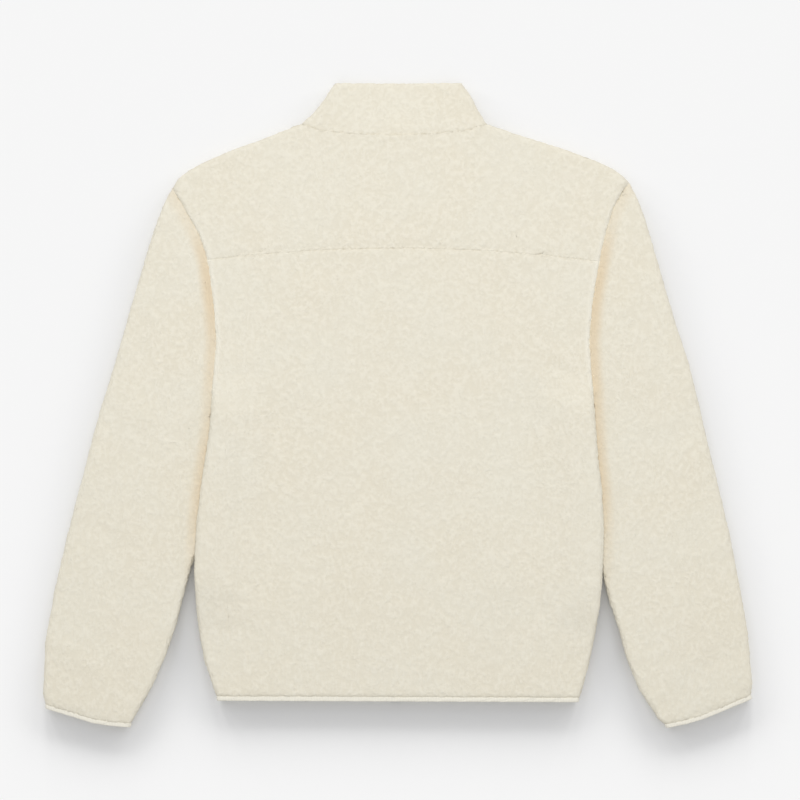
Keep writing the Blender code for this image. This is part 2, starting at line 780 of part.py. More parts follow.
def build_cuff_binding(side, sleeve, inside):
    """Narrow elastic ring that goes on from the sleeve's end."""
    along = (sleeve.at(0.5, 1.0) - sleeve.at(0.5, CUFF_AIM)).normalized()
    near, far = along * SEAM_GAP, along * CUFF_BINDING_DEPTH
    ends = [sleeve.bottom(0.0), sleeve.bottom(1.0)]
    patch = Patch(
        lambda across: sleeve.bottom(across) + near, lambda across: sleeve.bottom(across) + far,
        straight(ends[0] + near, ends[0] + far), straight(ends[1] + near, ends[1] + far),
    )
    radius = CUFF_BINDING_WALL + BINDING_GAP / 2
    fold = roll_places(radius, CUFF_BINDING_WALL)
    columns = fold + flat_places(MIDDLE, inside) + mirrored(fold)
    cloth = Cloth(CUFF_BINDING_WALL, plain_gap(BINDING_GAP), flat_base(BINDING_BASE), no_relief, 0.0)
    rows = tube_rows(BINDING_PARTS, seams=False)
    build_tube(f"cuff_binding_{side.name}", "elastic", patch, rows, columns, (radius, radius), cloth)


def build_band(name, finish, back, fronts, rows, back_columns, front_columns, reaches, cloth, droop):
    """A band that is open at the zip: left front, back and right front, folded at both sides."""
    upper = layer_grid(back, rows, back_columns, (reaches, reaches), True, cloth)
    sides = [layer_grid(front, rows, columns, (reaches, 0.0), False, cloth)
             for front, columns in zip(fronts, front_columns)]
    skins = []
    for skin in (0, 1):
        for row, line in zip(rows, upper[skin]):
            for point in line:
                point.z -= droop(point, row)
        left = [list(reversed(line[1:])) for line in sides[0][skin]]
        right = [line[1:] for line in sides[1][skin]]
        skins.append(join_rows(left, upper[skin], right))
    build_wall(name, finish, *skins)


def build_collar(outline):
    """Stand collar, whose back lies on top and whose fronts lie beneath."""
    half_gap = SEAM_GAP / 2
    sides = [Path(side.collar_side) for side in SIDES]
    rise = Vector((0.0, half_gap))
    tops = [side.points[0] for side in sides]
    back = Patch(straight(*tops), lambda across: outline.neck.part(across) + rise,
                 lambda down: sides[0].part(down) + rise * down,
                 lambda down: sides[1].part(down) + rise * down)
    fronts, front_columns = [], []
    for index, side in enumerate(SIDES):
        top, neck = Path(side.collar_front), outline.neck_fronts[index]
        toward = Vector((-side.sign * half_gap, half_gap))
        collar_side = sides[index]
        centre = straight(top.part(1.0), neck.part(1.0) + toward)
        fronts.append(Patch(
            top.part, lambda across, neck=neck, toward=toward: neck.part(across) + toward,
            lambda down, path=collar_side, toward=toward: path.part(down) + toward * down, centre))
        inside = [(part * neck.length - FOLD_RADIUS) / (neck.length - FOLD_RADIUS)
                  for part in (*FRONT_NECK_PARTS, 1.0)]
        front_columns.append(roll_places() + flat_places(MIDDLE, inside))
    length = outline.neck.length
    inside = [(part * length - FOLD_RADIUS) / (length - 2.0 * FOLD_RADIUS) for part in NECK_PARTS]
    back_columns = roll_places() + flat_places(MIDDLE, inside) + mirrored(roll_places())
    cloth = Cloth(PILE_WALL, layer_gap, flat_base(0.0), no_relief, 0.0)

    def droop(point, row):
        half = (tops[1].x - tops[0].x) / 2
        middle = (tops[1].x + tops[0].x) / 2
        share = min(abs(point.x - middle) / half, 1.0)
        return COLLAR_DROOP * (1.0 - row.left) * (1.0 - share ** 2)

    build_band("collar", "fleece", back, fronts, tube_rows(COLLAR_PARTS), back_columns,
               front_columns, FOLD_RADIUS, cloth, droop)


def build_hem_binding(outline):
    """Narrow elastic strip all round the hem, open at the zip."""
    ends = [edge.points[-1].x - side.sign * HEM_BINDING_INSET
            for edge, side in zip(outline.edges, SIDES)]

    def line(low, high, drop):
        return lambda across: outline.hem_point(mix(low, high, across), drop)

    def strip(low, high):
        upper, lower = line(low, high, SEAM_GAP), line(low, high, HEM_BINDING_DEPTH)
        return Patch(upper, lower, straight(upper(0.0), lower(0.0)), straight(upper(1.0), lower(1.0)))

    radius = HEM_BINDING_WALL + BINDING_GAP / 2
    fold = roll_places(radius, HEM_BINDING_WALL)
    back_columns = fold + flat_places(MIDDLE, BINDING_BACK_PARTS) + mirrored(fold)
    front_columns = [fold + flat_places(MIDDLE, BINDING_FRONT_PARTS)] * 2
    fronts = [strip(end, side.sign * GROOVE_HALF) for end, side in zip(ends, SIDES)]
    cloth = Cloth(HEM_BINDING_WALL, plain_gap(BINDING_GAP), flat_base(BINDING_BASE), no_relief, 0.0)
    build_band("hem_binding", "elastic", strip(*ends), fronts, tube_rows(BINDING_PARTS, seams=False),
               back_columns, front_columns, radius, cloth, lambda point, row: 0.0)


def build_zip_rows(side):
    """Tape and teeth of one side of the zip."""
    low_tape, high_tape = sorted((side.sign * TAPE_INNER, side.sign * TAPE_OUTER))
    tape = box((low_tape, ZIP_BOTTOM, TAPE_BOTTOM), (high_tape, TAPE_END, TAPE_TOP))
    add_piece(f"zip_tape_{side.name}", "zip_tape", tape)
    low_teeth, high_teeth = sorted((side.sign * TEETH_INNER, side.sign * TEETH_OUTER))
    end = SLIDER_TOP - POST_LENGTH - SEAM_GAP
    teeth = box((low_teeth, ZIP_BOTTOM, TEETH_BOTTOM), (high_teeth, end, TEETH_TOP))
    add_piece(f"zip_teeth_{side.name}", "zip_teeth", teeth)


def build_slider():
    """Slider: two plates round the teeth, the post that joins them and the bail under it."""
    bottom = SLIDER_TOP - SLIDER_LENGTH
    outer_top = TEETH_BOTTOM - SEAM_GAP
    inner_bottom = TEETH_TOP + SEAM_GAP
    post = box((-POST_HALF, SLIDER_TOP - POST_LENGTH, outer_top - SLIDER_GRIP),
               (POST_HALF, SLIDER_TOP - SLIDER_GRIP, inner_bottom + SLIDER_GRIP))
    slider = add_piece("zip_slider", "zip_metal", post)
    outer_plate = box((-SLIDER_HALF, bottom, outer_top - SLIDER_PLATE),
                      (SLIDER_HALF, SLIDER_TOP, outer_top))
    inner_plate = box((-SLIDER_HALF, bottom, inner_bottom),
                      (SLIDER_HALF, SLIDER_TOP, inner_bottom + SLIDER_PLATE))
    bail = box((-BAIL_HALF, PULL_AXIS_LEVEL - BAIL_REACH, BAIL_BOTTOM),
               (BAIL_HALF, PULL_AXIS_LEVEL + BAIL_REACH, outer_top - SLIDER_GRIP))
    eye = box((-SLIDER_HALF, PULL_AXIS_LEVEL - BAIL_REACH + BAIL_WIRE, BAIL_BOTTOM + BAIL_WIRE),
              (SLIDER_HALF, PULL_AXIS_LEVEL + BAIL_REACH - BAIL_WIRE, outer_top - SLIDER_PLATE))
    guides = (("outer_plate", outer_plate, "UNION"), ("inner_plate", inner_plate, "UNION"),
              ("bail", bail, "UNION"), ("bail_eye", eye, "DIFFERENCE"))
    for name, mesh, operation in guides:
        combine(slider, add_piece(name, "zip_metal", mesh, guide=True), operation)


def build_pull():
    """Pull tab, with its origin on the hinge axis inside the slider's bail."""
    hinge = bpy.data.objects.new("pull_hinge", None)
    hinge.location = Vector((0.0, PULL_AXIS_LEVEL, PULL_AXIS_HEIGHT)) * MILLIMETRE
    bpy.context.scene.collection.objects.link(hinge)
    half = PULL_THICKNESS / 2
    plate = box((-PULL_HALF, -PULL_LENGTH, -half), (PULL_HALF, half, half))
    pull = add_piece("zip_pull", "zip_metal", plate, parent=hinge)
    window = box((-WINDOW_HALF, -WINDOW_REACH, -PULL_THICKNESS), (WINDOW_HALF, -half, PULL_THICKNESS))
    combine(pull, add_piece("pull_window", "zip_metal", window, parent=hinge, guide=True), "DIFFERENCE")


def main():
    """Build the whole garment."""
    clear_scene()
    outline = Outline()
    build_back(outline)
    for index in (0, 1):
        build_front(outline, index)
        build_sleeve(outline, index)
        build_zip_rows(SIDES[index])
    build_collar(outline)
    build_hem_binding(outline)
    build_slider()
    build_pull()


main()
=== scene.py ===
"""Curly pile fleece jacket, laid flat with its back up: cloth, bindings, zip, floor, lights and camera."""

import math
from collections import namedtuple

import bmesh
import bpy
import numpy as np
from bpy.props import FloatProperty, FloatVectorProperty, PointerProperty
from bpy.types import Operator, Panel, PropertyGroup
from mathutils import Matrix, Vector, noise
from mathutils.bvhtree import BVHTree


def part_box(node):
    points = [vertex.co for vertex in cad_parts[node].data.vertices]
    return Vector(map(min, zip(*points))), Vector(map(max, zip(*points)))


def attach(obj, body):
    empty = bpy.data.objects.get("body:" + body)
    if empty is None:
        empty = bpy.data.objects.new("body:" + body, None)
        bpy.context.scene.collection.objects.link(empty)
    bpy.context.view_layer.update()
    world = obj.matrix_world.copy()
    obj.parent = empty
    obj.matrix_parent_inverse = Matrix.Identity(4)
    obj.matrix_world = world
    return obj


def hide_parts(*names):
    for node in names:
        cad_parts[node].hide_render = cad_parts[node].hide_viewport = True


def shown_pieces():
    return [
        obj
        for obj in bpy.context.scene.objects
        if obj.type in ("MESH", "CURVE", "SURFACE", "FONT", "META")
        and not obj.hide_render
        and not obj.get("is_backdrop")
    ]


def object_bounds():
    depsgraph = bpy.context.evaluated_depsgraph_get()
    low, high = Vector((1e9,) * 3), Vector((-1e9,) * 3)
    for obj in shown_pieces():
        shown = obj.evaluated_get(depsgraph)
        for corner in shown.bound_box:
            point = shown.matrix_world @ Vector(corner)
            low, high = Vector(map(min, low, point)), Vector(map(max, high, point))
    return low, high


bl_info = {
    "name": "Pile fleece jacket, laid flat",
    "version": (1, 0, 0),
    "blender": (4, 5, 0),
    "location": "3D View > Sidebar > Jacket",
    "description": "Dresses the packed jacket in curly pile fleece, knitted bindings and a moulded zip",
    "category": "Object",
}

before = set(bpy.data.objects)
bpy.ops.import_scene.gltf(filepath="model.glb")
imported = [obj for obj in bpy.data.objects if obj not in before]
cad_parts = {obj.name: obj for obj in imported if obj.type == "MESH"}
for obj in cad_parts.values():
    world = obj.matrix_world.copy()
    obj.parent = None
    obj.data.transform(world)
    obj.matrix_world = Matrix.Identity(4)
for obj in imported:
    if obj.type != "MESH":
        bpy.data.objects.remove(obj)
CAD_LOW, CAD_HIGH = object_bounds()

JACKET = "jacket"
PULL = "pull"
MM = 0.001
FLOOR_GAP = 0.0001
SAME_PLACE = 1e-6

# One cut piece of fleece: its node, its flat width and length, its flat area and what it lies on
Cut = namedtuple("Cut", "node width length area rests_on")
CUTS = (
    Cut("front_left", 0.280, 0.700, 0.140, ()),
    Cut("front_right", 0.280, 0.700, 0.145, ()),
    Cut("sleeve_left", 0.400, 0.640, 0.150, ("front_left",)),
    Cut("sleeve_right", 0.400, 0.640, 0.150, ("front_right",)),
    Cut("back_panel", 0.490, 0.535, 0.238, ("front_left_cloth", "front_right_cloth")),
    Cut("back_yoke", 0.560, 0.185, 0.066, ("front_left_cloth", "front_right_cloth")),
    Cut("collar", 0.440, 0.075, 0.0255, ("back_yoke_cloth",)),
)
CLOTH_NODES = tuple(cut.node for cut in CUTS)

# One knitted elastic strip: its node, its length all round and its shown width
Strip = namedtuple("Strip", "node length width")
STRIPS = (
    Strip("hem_binding", 0.836, 0.0105),
    Strip("cuff_binding_left", 0.200, 0.0105),
    Strip("cuff_binding_right", 0.206, 0.0105),
)

# A soft crease of the upper cloth: its two ends, half width and rise, all in millimetres
Crease = namedtuple("Crease", "x0 y0 x1 y1 width rise")
CREASES = (
    Crease(-212, 18, -168, 40, 9, -1.0),
    Crease(-204, -8, -150, -6, 8, 0.7),
    Crease(222, 20, 182, 44, 9, -0.9),
    Crease(214, -6, 166, 6, 8, 0.7),
    Crease(-150, 150, -84, 128, 15, 0.6),
    Crease(150, 146, 92, 118, 14, -0.6),
    Crease(-20, 60, 30, 20, 22, -0.6),
    Crease(-196, -210, -150, -236, 11, 0.8),
    Crease(206, -196, 170, -232, 12, -0.8),
    Crease(-120, -290, -116, -326, 8, -0.8),
    Crease(-28, -300, -24, -328, 7, 0.6),
    Crease(94, -296, 98, -328, 8, -0.7),
    Crease(184, -286, 188, -326, 8, 0.7),
    Crease(-280, 150, -248, 120, 12, -0.7),
    Crease(-330, 10, -282, -16, 13, 0.8),
    Crease(-356, -140, -316, -160, 12, -0.8),
    Crease(-396, -270, -352, -300, 12, 0.9),
    Crease(-330, -300, -300, -330, 10, -0.8),
    Crease(294, 150, 262, 112, 12, 0.7),
    Crease(344, -20, 292, -44, 13, -0.9),
    Crease(372, -160, 326, -178, 12, 0.8),
    Crease(398, -276, 348, -306, 12, -0.9),
    Crease(322, -306, 300, -334, 10, 0.8),
)


class FleeceSettings(PropertyGroup):
    """Sizes and colours of the curly pile."""

    top_step: FloatProperty(
        name="Top mesh step", description="Longest mesh edge on the side that faces up",
        default=0.0033, min=0.0015, unit="LENGTH")
    under_step: FloatProperty(
        name="Under mesh step", description="Longest mesh edge on the side that lies down",
        default=0.0050, min=0.0015, unit="LENGTH")
    hidden_step: FloatProperty(
        name="Hidden mesh step", description="Longest mesh edge where another layer covers the cloth",
        default=0.012, min=0.004, unit="LENGTH")
    curl_size: FloatProperty(
        name="Curl size", description="Distance between neighbouring curls of the pile",
        default=0.0050, min=0.002, unit="LENGTH")
    curl_depth: FloatProperty(
        name="Curl depth", description="Depth of the hollows between the curls",
        default=0.0009, min=0.0, unit="LENGTH")
    seam_fill: FloatProperty(
        name="Seam fill", description="Most that the pile rises to close the dip beside a seam",
        default=0.0022, min=0.0, unit="LENGTH")
    pile_colour: FloatVectorProperty(
        name="Pile colour", description="Colour of the curl tips", subtype="COLOR",
        default=(0.835, 0.790, 0.670), min=0.0, max=1.0)
    # Painted shade in the hollows between the curls, and also the darker tone of the random clumps and
    # fibres and of the streaks that grow toward the hem
    hollow_shade_and_mottle_colour: FloatVectorProperty(
        name="Hollow colour", description="Colour between the curls", subtype="COLOR",
        default=(0.780, 0.730, 0.605), min=0.0, max=1.0)
    cool_colour: FloatVectorProperty(
        name="Cool colour", description="Tone of the cooler patches of the pile", subtype="COLOR",
        default=(0.805, 0.785, 0.690), min=0.0, max=1.0)
    # Painted highlight on the raised pile along the body's side edges
    rim_highlight_colour: FloatVectorProperty(
        name="Rim colour", description="Tone of the raised pile along the body's side edges",
        subtype="COLOR", default=(0.880, 0.845, 0.735), min=0.0, max=1.0)
    # Painted shade where two pieces meet at a seam and on the sleeve beside the body's side edge
    crease_shade_colour: FloatVectorProperty(
        name="Crease colour", description="Colour where two pieces meet or lie close",
        subtype="COLOR", default=(0.755, 0.630, 0.450), min=0.0, max=1.0)


class BindingSettings(PropertyGroup):
    """Sizes and colours of the knitted elastic at hem and cuffs."""

    step: FloatProperty(
        name="Mesh step", description="Longest mesh edge of the binding",
        default=0.0024, min=0.001, unit="LENGTH")
    rib_pitch: FloatProperty(
        name="Rib pitch", description="Distance between the ribs of the elastic",
        default=0.0018, min=0.0005, unit="LENGTH")
    colour: FloatVectorProperty(
        name="Elastic colour", description="Colour of the elastic's ribs", subtype="COLOR",
        default=(0.865, 0.830, 0.725), min=0.0, max=1.0)


class ZipSettings(PropertyGroup):
    """Sizes and colours of the zip."""

    tooth_pitch: FloatProperty(
        name="Tooth pitch", description="Distance between two teeth of one side",
        default=0.0028, min=0.001, unit="LENGTH")
    tape_colour: FloatVectorProperty(
        name="Tape colour", description="Colour of the woven tape", subtype="COLOR",
        default=(0.740, 0.700, 0.600), min=0.0, max=1.0)
    teeth_colour: FloatVectorProperty(
        name="Teeth colour", description="Colour of the moulded teeth", subtype="COLOR",
        default=(0.780, 0.745, 0.650), min=0.0, max=1.0)
    metal_colour: FloatVectorProperty(
        name="Metal colour", description="Colour of slider and pull", subtype="COLOR",
        default=(0.620, 0.610, 0.580), min=0.0, max=1.0)


class StageSettings(PropertyGroup):
    """Floor, lights and camera."""

    floor_colour: FloatVectorProperty(
        name="Floor colour", description="Colour of the plain floor", subtype="COLOR",
        default=(0.90, 0.90, 0.90), min=0.0, max=1.0)
    sky_strength: FloatProperty(
        name="Sky strength", description="Brightness of the even light from all round",
        default=0.60, min=0.0)
    low_share: FloatProperty(
        name="Low light", description="Share of the floor's light that comes low over the collar",
        default=0.43, min=0.0, max=1.0)
    low_height: FloatProperty(
        name="Low light height", description="Angle of the low lights over the floor",
        default=math.radians(11.0), subtype="ANGLE")
    low_spread: FloatProperty(
        name="Low light spread", description="Angle that each low light fills",
        default=math.radians(14.0), subtype="ANGLE")
    low_turn: FloatProperty(
        name="Low light turn", description="Angle from one low light to the next",
        default=math.radians(22.0), subtype="ANGLE")
    key_share: FloatProperty(
        name="Key light", description="Share of the jacket's light that the softbox gives",
        default=0.465, min=0.0, max=1.0)
    key_y: FloatProperty(
        name="Softbox place", description="How far the softbox hangs towards the collar",
        default=1.7, unit="LENGTH")
    key_z: FloatProperty(
        name="Softbox height", description="Height of the softbox over the floor",
        default=3.6, unit="LENGTH")
    key_size: FloatProperty(
        name="Softbox size", description="Side of the square softbox",
        default=1.6, unit="LENGTH")
    lens: FloatProperty(
        name="Lens", description="Focal length of the camera in millimetres", default=100.0)
    view_width: FloatProperty(
        name="View width", description="Width of the frame on the jacket", default=0.920,
        unit="LENGTH")
    view_x: FloatProperty(
        name="View centre across", description="Place under the middle of the frame",
        default=0.0029, unit="LENGTH")
    view_y: FloatProperty(
        name="View centre along", description="Place under the middle of the frame",
        default=0.0069, unit="LENGTH")


def ease(low, high, values):
    """Smooth step of an array from 0 at low to 1 at high."""
    share = np.clip((values - low) / (high - low), 0.0, 1.0)
    return share * share * (3.0 - 2.0 * share)


def unit(vectors):
    """Vectors of length one."""
    return vectors / np.maximum(np.linalg.norm(vectors, axis=1, keepdims=True), 1e-12)


class Skin:
    """A triangle mesh held in arrays while its cloth is worked."""

    # Angles in radians: faces of one plane, and faces so level that their edge may turn
    ONE_PLANE = 0.003
    LEVEL = 0.06
    # Side of the cells that wide faces are cut into, and the reach of a cut to a point
    CELL = 0.024
    CUT_REACH = 0.0004
    # Height under which a face is a needle, and height under which its corners are on one line
    NEEDLE = 0.0003
    ON_LINE = 0.00002
    ROUNDS = 4
    # Each pass of refining splits the edges that are within this ratio of the longest
    PASS_RATIO = 1.8
    # Share of a curve's bulge at a new point, where the normals beside it agree this well
    BULGE = 0.7
    AGREE = 0.6

    def __init__(self, node):
        mesh = bmesh.new()
        mesh.from_mesh(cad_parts[node].data)
        bmesh.ops.remove_doubles(mesh, verts=mesh.verts, dist=SAME_PLACE)
        bmesh.ops.dissolve_limit(mesh, angle_limit=self.ONE_PLANE, verts=mesh.verts,
                                 edges=mesh.edges)
        self.cut_grid(mesh, *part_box(node))
        for _ in range(self.ROUNDS):
            bmesh.ops.triangulate(mesh, faces=mesh.faces)
            self.turn(mesh)
            bmesh.ops.dissolve_degenerate(mesh, dist=self.NEEDLE, edges=mesh.edges)
        bmesh.ops.triangulate(mesh, faces=mesh.faces)
        self.mend(mesh)
        self.points = np.array([vert.co[:] for vert in mesh.verts])
        self.faces = np.array([[vert.index for vert in face.verts] for face in mesh.faces])
        mesh.free()
        self.normals = self.point_normals()
        self.shown = np.ones(len(self.points))

    def cut_grid(self, mesh, low, high):
        """Cut wide faces into cells, so that no long sliver is left in them."""
        for axis in (0, 1):
            normal = [0.0, 0.0, 0.0]
            normal[axis] = 1.0
            for place in np.arange(low[axis] + self.CELL / 2.0, high[axis], self.CELL):
                point = [0.0, 0.0, 0.0]
                point[axis] = place
                parts = [*mesh.verts, *mesh.edges, *mesh.faces]
                bmesh.ops.bisect_plane(mesh, geom=parts, dist=self.CUT_REACH, plane_co=point,
                                       plane_no=normal)

    def mend(self, mesh):
        """Take away doubled faces and loose flaps, and close the holes that they leave."""
        twins = {}
        for face in mesh.faces:
            twins.setdefault(frozenset(face.verts), []).append(face)
        doubled = [face for group in twins.values() if len(group) > 1 for face in group]
        bmesh.ops.delete(mesh, geom=doubled, context="FACES_ONLY")
        flaps = [face for face in mesh.faces if self.is_flap(face)]
        bmesh.ops.delete(mesh, geom=flaps, context="FACES_ONLY")
        bare = [edge for edge in mesh.edges if not edge.link_faces]
        bmesh.ops.delete(mesh, geom=bare, context="EDGES")
        rims = [edge for edge in mesh.edges if len(edge.link_faces) == 1]
        bmesh.ops.holes_fill(mesh, edges=rims)
        bmesh.ops.triangulate(mesh, faces=mesh.faces)
        mesh.verts.index_update()

    def is_flap(self, face):
        """Whether a face has no sound edge, or hangs between an open and a crowded one."""
        beside = [len(edge.link_faces) for edge in face.edges]
        return 2 not in beside or (min(beside) == 1 and max(beside) > 2)

    def turn_edges(self):
        """Turn the edges between level faces so that slivers become even triangles."""
        mesh = bmesh.new()
        verts = [mesh.verts.new(point) for point in self.points]
        for a, b, c in self.faces:
            mesh.faces.new((verts[a], verts[b], verts[c]))
        self.turn(mesh)
        mesh.verts.index_update()
        self.faces = np.array([[vert.index for vert in face.verts] for face in mesh.faces])
        mesh.free()

    def turn(self, mesh):
        """Turn a mesh's edges between level faces, beside needles and over flat faces."""
        mesh.normal_update()
        level = [edge for edge in mesh.edges
                 if edge.calc_face_angle(1.0) < self.LEVEL or self.beside_needle(edge)]
        bmesh.ops.beautify_fill(mesh, faces=mesh.faces, edges=level, method="ANGLE")
        for _ in range(self.ROUNDS):
            for face in [face for face in mesh.faces if self.is_flat(face)]:
                if face.is_valid and self.is_flat(face):
                    self.turn_longest(face)

    def beside_needle(self, edge):
        """Whether a face on this edge is almost without height over it."""
        least = self.NEEDLE * edge.calc_length() / 2.0
        return any(face.calc_area() < least for face in edge.link_faces)

    def is_flat(self, face):
        """Whether a face's three corners lie on one line."""
        longest = max(edge.calc_length() for edge in face.edges)
        return face.calc_area() < self.ON_LINE * longest / 2.0

    def turn_longest(self, face):
        """Turn the longest edge of a flat face, if the face beyond it is a sound one."""
        edge = max(face.edges, key=lambda edge: edge.calc_length())
        if len(edge.link_faces) != 2 or all(self.is_flat(side) for side in edge.link_faces):
            return
        tips = [next(vert for vert in side.verts if vert not in edge.verts)
                for side in edge.link_faces]
        if not any(tips[1] in other.verts for other in tips[0].link_edges):
            bmesh.utils.edge_rotate(edge)

    def edges(self):
        """The two ends of every edge."""
        sides = np.sort(self.faces[:, [[0, 1], [1, 2], [2, 0]]], axis=2).reshape(-1, 2)
        keys = np.unique(sides[:, 0] * len(self.points) + sides[:, 1])
        return keys // len(self.points), keys % len(self.points)

    def blur(self, values, rounds):
        """Values of the points, averaged with their neighbours' a number of times."""
        first, second = self.edges()
        count = 1.0 + np.bincount(np.concatenate((first, second)), minlength=len(self.points))
        columns = values.reshape(len(values), -1).T.copy()
        for _ in range(rounds):
            for row in columns:
                row += (np.bincount(first, row[second], len(row))
                        + np.bincount(second, row[first], len(row)))
                row /= count
        return columns.T.reshape(values.shape)

    def widen_shown(self):
        """Mark the neighbours of shown points as shown too."""
        first, second = self.edges()
        wide = self.shown.copy()
        np.maximum.at(wide, first, self.shown[second])
        np.maximum.at(wide, second, self.shown[first])
        self.shown = wide

    def face_normals(self):
        """Normals of the faces, as long as twice each face's area."""
        corners = self.points[self.faces]
        return np.cross(corners[:, 1] - corners[:, 0], corners[:, 2] - corners[:, 0])

    def point_normals(self):
        """Unit normals of the points."""
        total = np.zeros_like(self.points)
        across = self.face_normals()
        for corner in range(3):
            np.add.at(total, self.faces[:, corner], across)
        return unit(total)

    def refine(self, limits):
        """Split edges until none is longer than the limit of a face beside it."""
        limits = np.broadcast_to(limits, len(self.faces)).copy()
        while True:
            sides = np.sort(self.faces[:, [[0, 1], [1, 2], [2, 0]]], axis=2)
            keys = sides[..., 0] * len(self.points) + sides[..., 1]
            unique, index = np.unique(keys, return_inverse=True)
            index = index.reshape(keys.shape)
            first, second = unique // len(self.points), unique % len(self.points)
            allowed = np.full(len(unique), np.inf)
            for corner in range(3):
                np.minimum.at(allowed, index[:, corner], limits)
            ratio = np.linalg.norm(self.points[first] - self.points[second], axis=1) / allowed
            if ratio.max() <= 1.0:
                return
            cut = ratio > max(1.0, ratio.max() / self.PASS_RATIO)
            limits = self.split(index, first, second, cut, limits)

    def split(self, index, first, second, cut, limits):
        """Cut the chosen edges at their middles, and return the new faces' limits."""
        a, b = self.points[first[cut]], self.points[second[cut]]
        na, nb = self.normals[first[cut]], self.normals[second[cut]]
        middle = (a + b) / 2.0
        pull = (((middle - a) * na).sum(1, keepdims=True) * na
                + ((middle - b) * nb).sum(1, keepdims=True) * nb) / 2.0
        agree = (na * nb).sum(1, keepdims=True) > self.AGREE
        middle -= np.where(agree, self.BULGE * pull, 0.0)
        place = np.full(len(cut), -1)
        place[cut] = len(self.points) + np.arange(cut.sum())
        self.points = np.vstack((self.points, middle))
        self.normals = np.vstack((self.normals, unit(na + nb)))
        between = (self.shown[first[cut]] + self.shown[second[cut]]) / 2.0
        self.shown = np.concatenate((self.shown, between))
        marks = place[index]
        counts = (marks >= 0).sum(1)
        faces, kept = [self.faces[counts == 0]], [limits[counts == 0]]
        for corner in range(3):
            turn = [corner, (corner + 1) % 3, (corner + 2) % 3]
            one = (counts == 1) & (marks[:, turn[0]] >= 0)
            two = (counts == 2) & (marks[:, turn[2]] < 0)
            a, b, c = self.faces[one][:, turn].T
            m = marks[one][:, turn[0]]
            faces += [np.stack((a, m, c), 1), np.stack((m, b, c), 1)]
            kept += [limits[one]] * 2
            a, b, c = self.faces[two][:, turn].T
            m, n = marks[two][:, turn[0]], marks[two][:, turn[1]]
            faces += [np.stack((m, b, n), 1), np.stack((a, m, n), 1), np.stack((a, n, c), 1)]
            kept += [limits[two]] * 3
        three = counts == 3
        a, b, c = self.faces[three].T
        m, n, o = marks[three].T
        faces += [np.stack((a, m, o), 1), np.stack((m, b, n), 1),
                  np.stack((o, n, c), 1), np.stack((m, n, o), 1)]
        kept += [limits[three]] * 4
        self.faces = np.concatenate(faces)
        return np.concatenate(kept)

    def make(self, name, marks):
        """Mesh object with one stored value per point for each mark."""
        mesh = bpy.data.meshes.new(name)
        mesh.from_pydata(self.points, [], self.faces)
        for mark, values in marks.items():
            layer = mesh.attributes.new(mark, "FLOAT", "POINT")
            layer.data.foreach_set("value", values.astype(np.float32))
        mesh.shade_smooth()
        piece = bpy.data.objects.new(name, mesh)
        bpy.context.scene.collection.objects.link(piece)
        return piece


def build_tree(nodes):
    """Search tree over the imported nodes' own faces."""
    points, faces = [], []
    for node in nodes:
        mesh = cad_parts[node].data
        start = len(points)
        points += [vert.co[:] for vert in mesh.vertices]
        faces += [[start + index for index in face.vertices] for face in mesh.polygons]
    return BVHTree.FromPolygons(points, faces)


def nearest(points, tree, reach):
    """Nearness, from 0 at the reach to 1 at a touch, and the way to the nearest other point."""
    near = np.zeros(len(points))
    way = np.zeros_like(points)
    for index, point in enumerate(map(Vector, points)):
        found, _, _, distance = tree.find_nearest(point, reach)
        if found is not None:
            near[index] = 1.0 - distance / reach
            way[index] = found - point
    return near, way


# The curls lie a little closer across the cloth than along it
CURL_STRETCH = (1.12, 0.9, 1.0)
# A curl's ridge falls to the hollow at this rate
RIDGE_FALL = 2.9
# Clumps are wider than curls and fibres finer, as ratios, with their share in the height
CLUMP_RATIO = 0.37
CLUMP_SHARE = 0.5
CLUMP_PLACE = Vector((7.0, 3.0, 1.0))
FIBRE_RATIO = 2.3
FIBRE_SHARE = 0.22
CURL_SHARE = 0.8


def pile_height(points, size):
    """Height of the curls, from 0 in a hollow to 1 on a curl, in winding ridges."""
    found = []
    for point in map(Vector, points / size * CURL_STRETCH):
        winding = 1.0 - min(abs(noise.noise(point)) * RIDGE_FALL, 1.0)
        clump = noise.noise(point * CLUMP_RATIO + CLUMP_PLACE)
        fibre = noise.noise(point * FIBRE_RATIO)
        found.append(winding * (CURL_SHARE + CLUMP_SHARE * clump) + FIBRE_SHARE * fibre)
    return np.clip(np.array(found), 0.0, 1.0)


def crease_rise(points):
    """Rise of the upper cloth in millimetres, summed over the table of creases."""
    place = points[:, :2] / MM
    rise = np.zeros(len(points))
    for crease in CREASES:
        start = np.array((crease.x0, crease.y0))
        run = np.array((crease.x1, crease.y1)) - start
        share = np.clip((place - start) @ run / (run @ run), 0.0, 1.0)
        away = np.linalg.norm(place - start - share[:, None] * run, axis=1)
        rise += crease.rise * np.exp(-(away / crease.width) ** 2)
    return rise


def new_material(name):
    """Empty node material, its tree and its Principled shader."""
    material = bpy.data.materials.new(name)
    material.use_nodes = True
    tree = material.node_tree
    return material, tree, tree.nodes["Principled BSDF"]


def add_node(tree, kind, inputs=None, **settings):
    """Node of a kind, with its settings and with links or values for its inputs."""
    node = tree.nodes.new(kind)
    for key, value in settings.items():
        setattr(node, key, value)
    for key, value in (inputs or {}).items():
        if isinstance(value, bpy.types.NodeSocket):
            tree.links.new(value, node.inputs[key])
        else:
            node.inputs[key].default_value = value
    return node


def mix_colours(tree, share, low, high):
    """Colour between two colours or sockets by a share."""
    node = add_node(tree, "ShaderNodeMix", data_type="RGBA")
    for socket, value in ((node.inputs[0], share), (node.inputs[6], low), (node.inputs[7], high)):
        if isinstance(value, bpy.types.NodeSocket):
            tree.links.new(value, socket)
        else:
            socket.default_value = value if isinstance(value, float) else (*value, 1.0)
    return node.outputs[2]


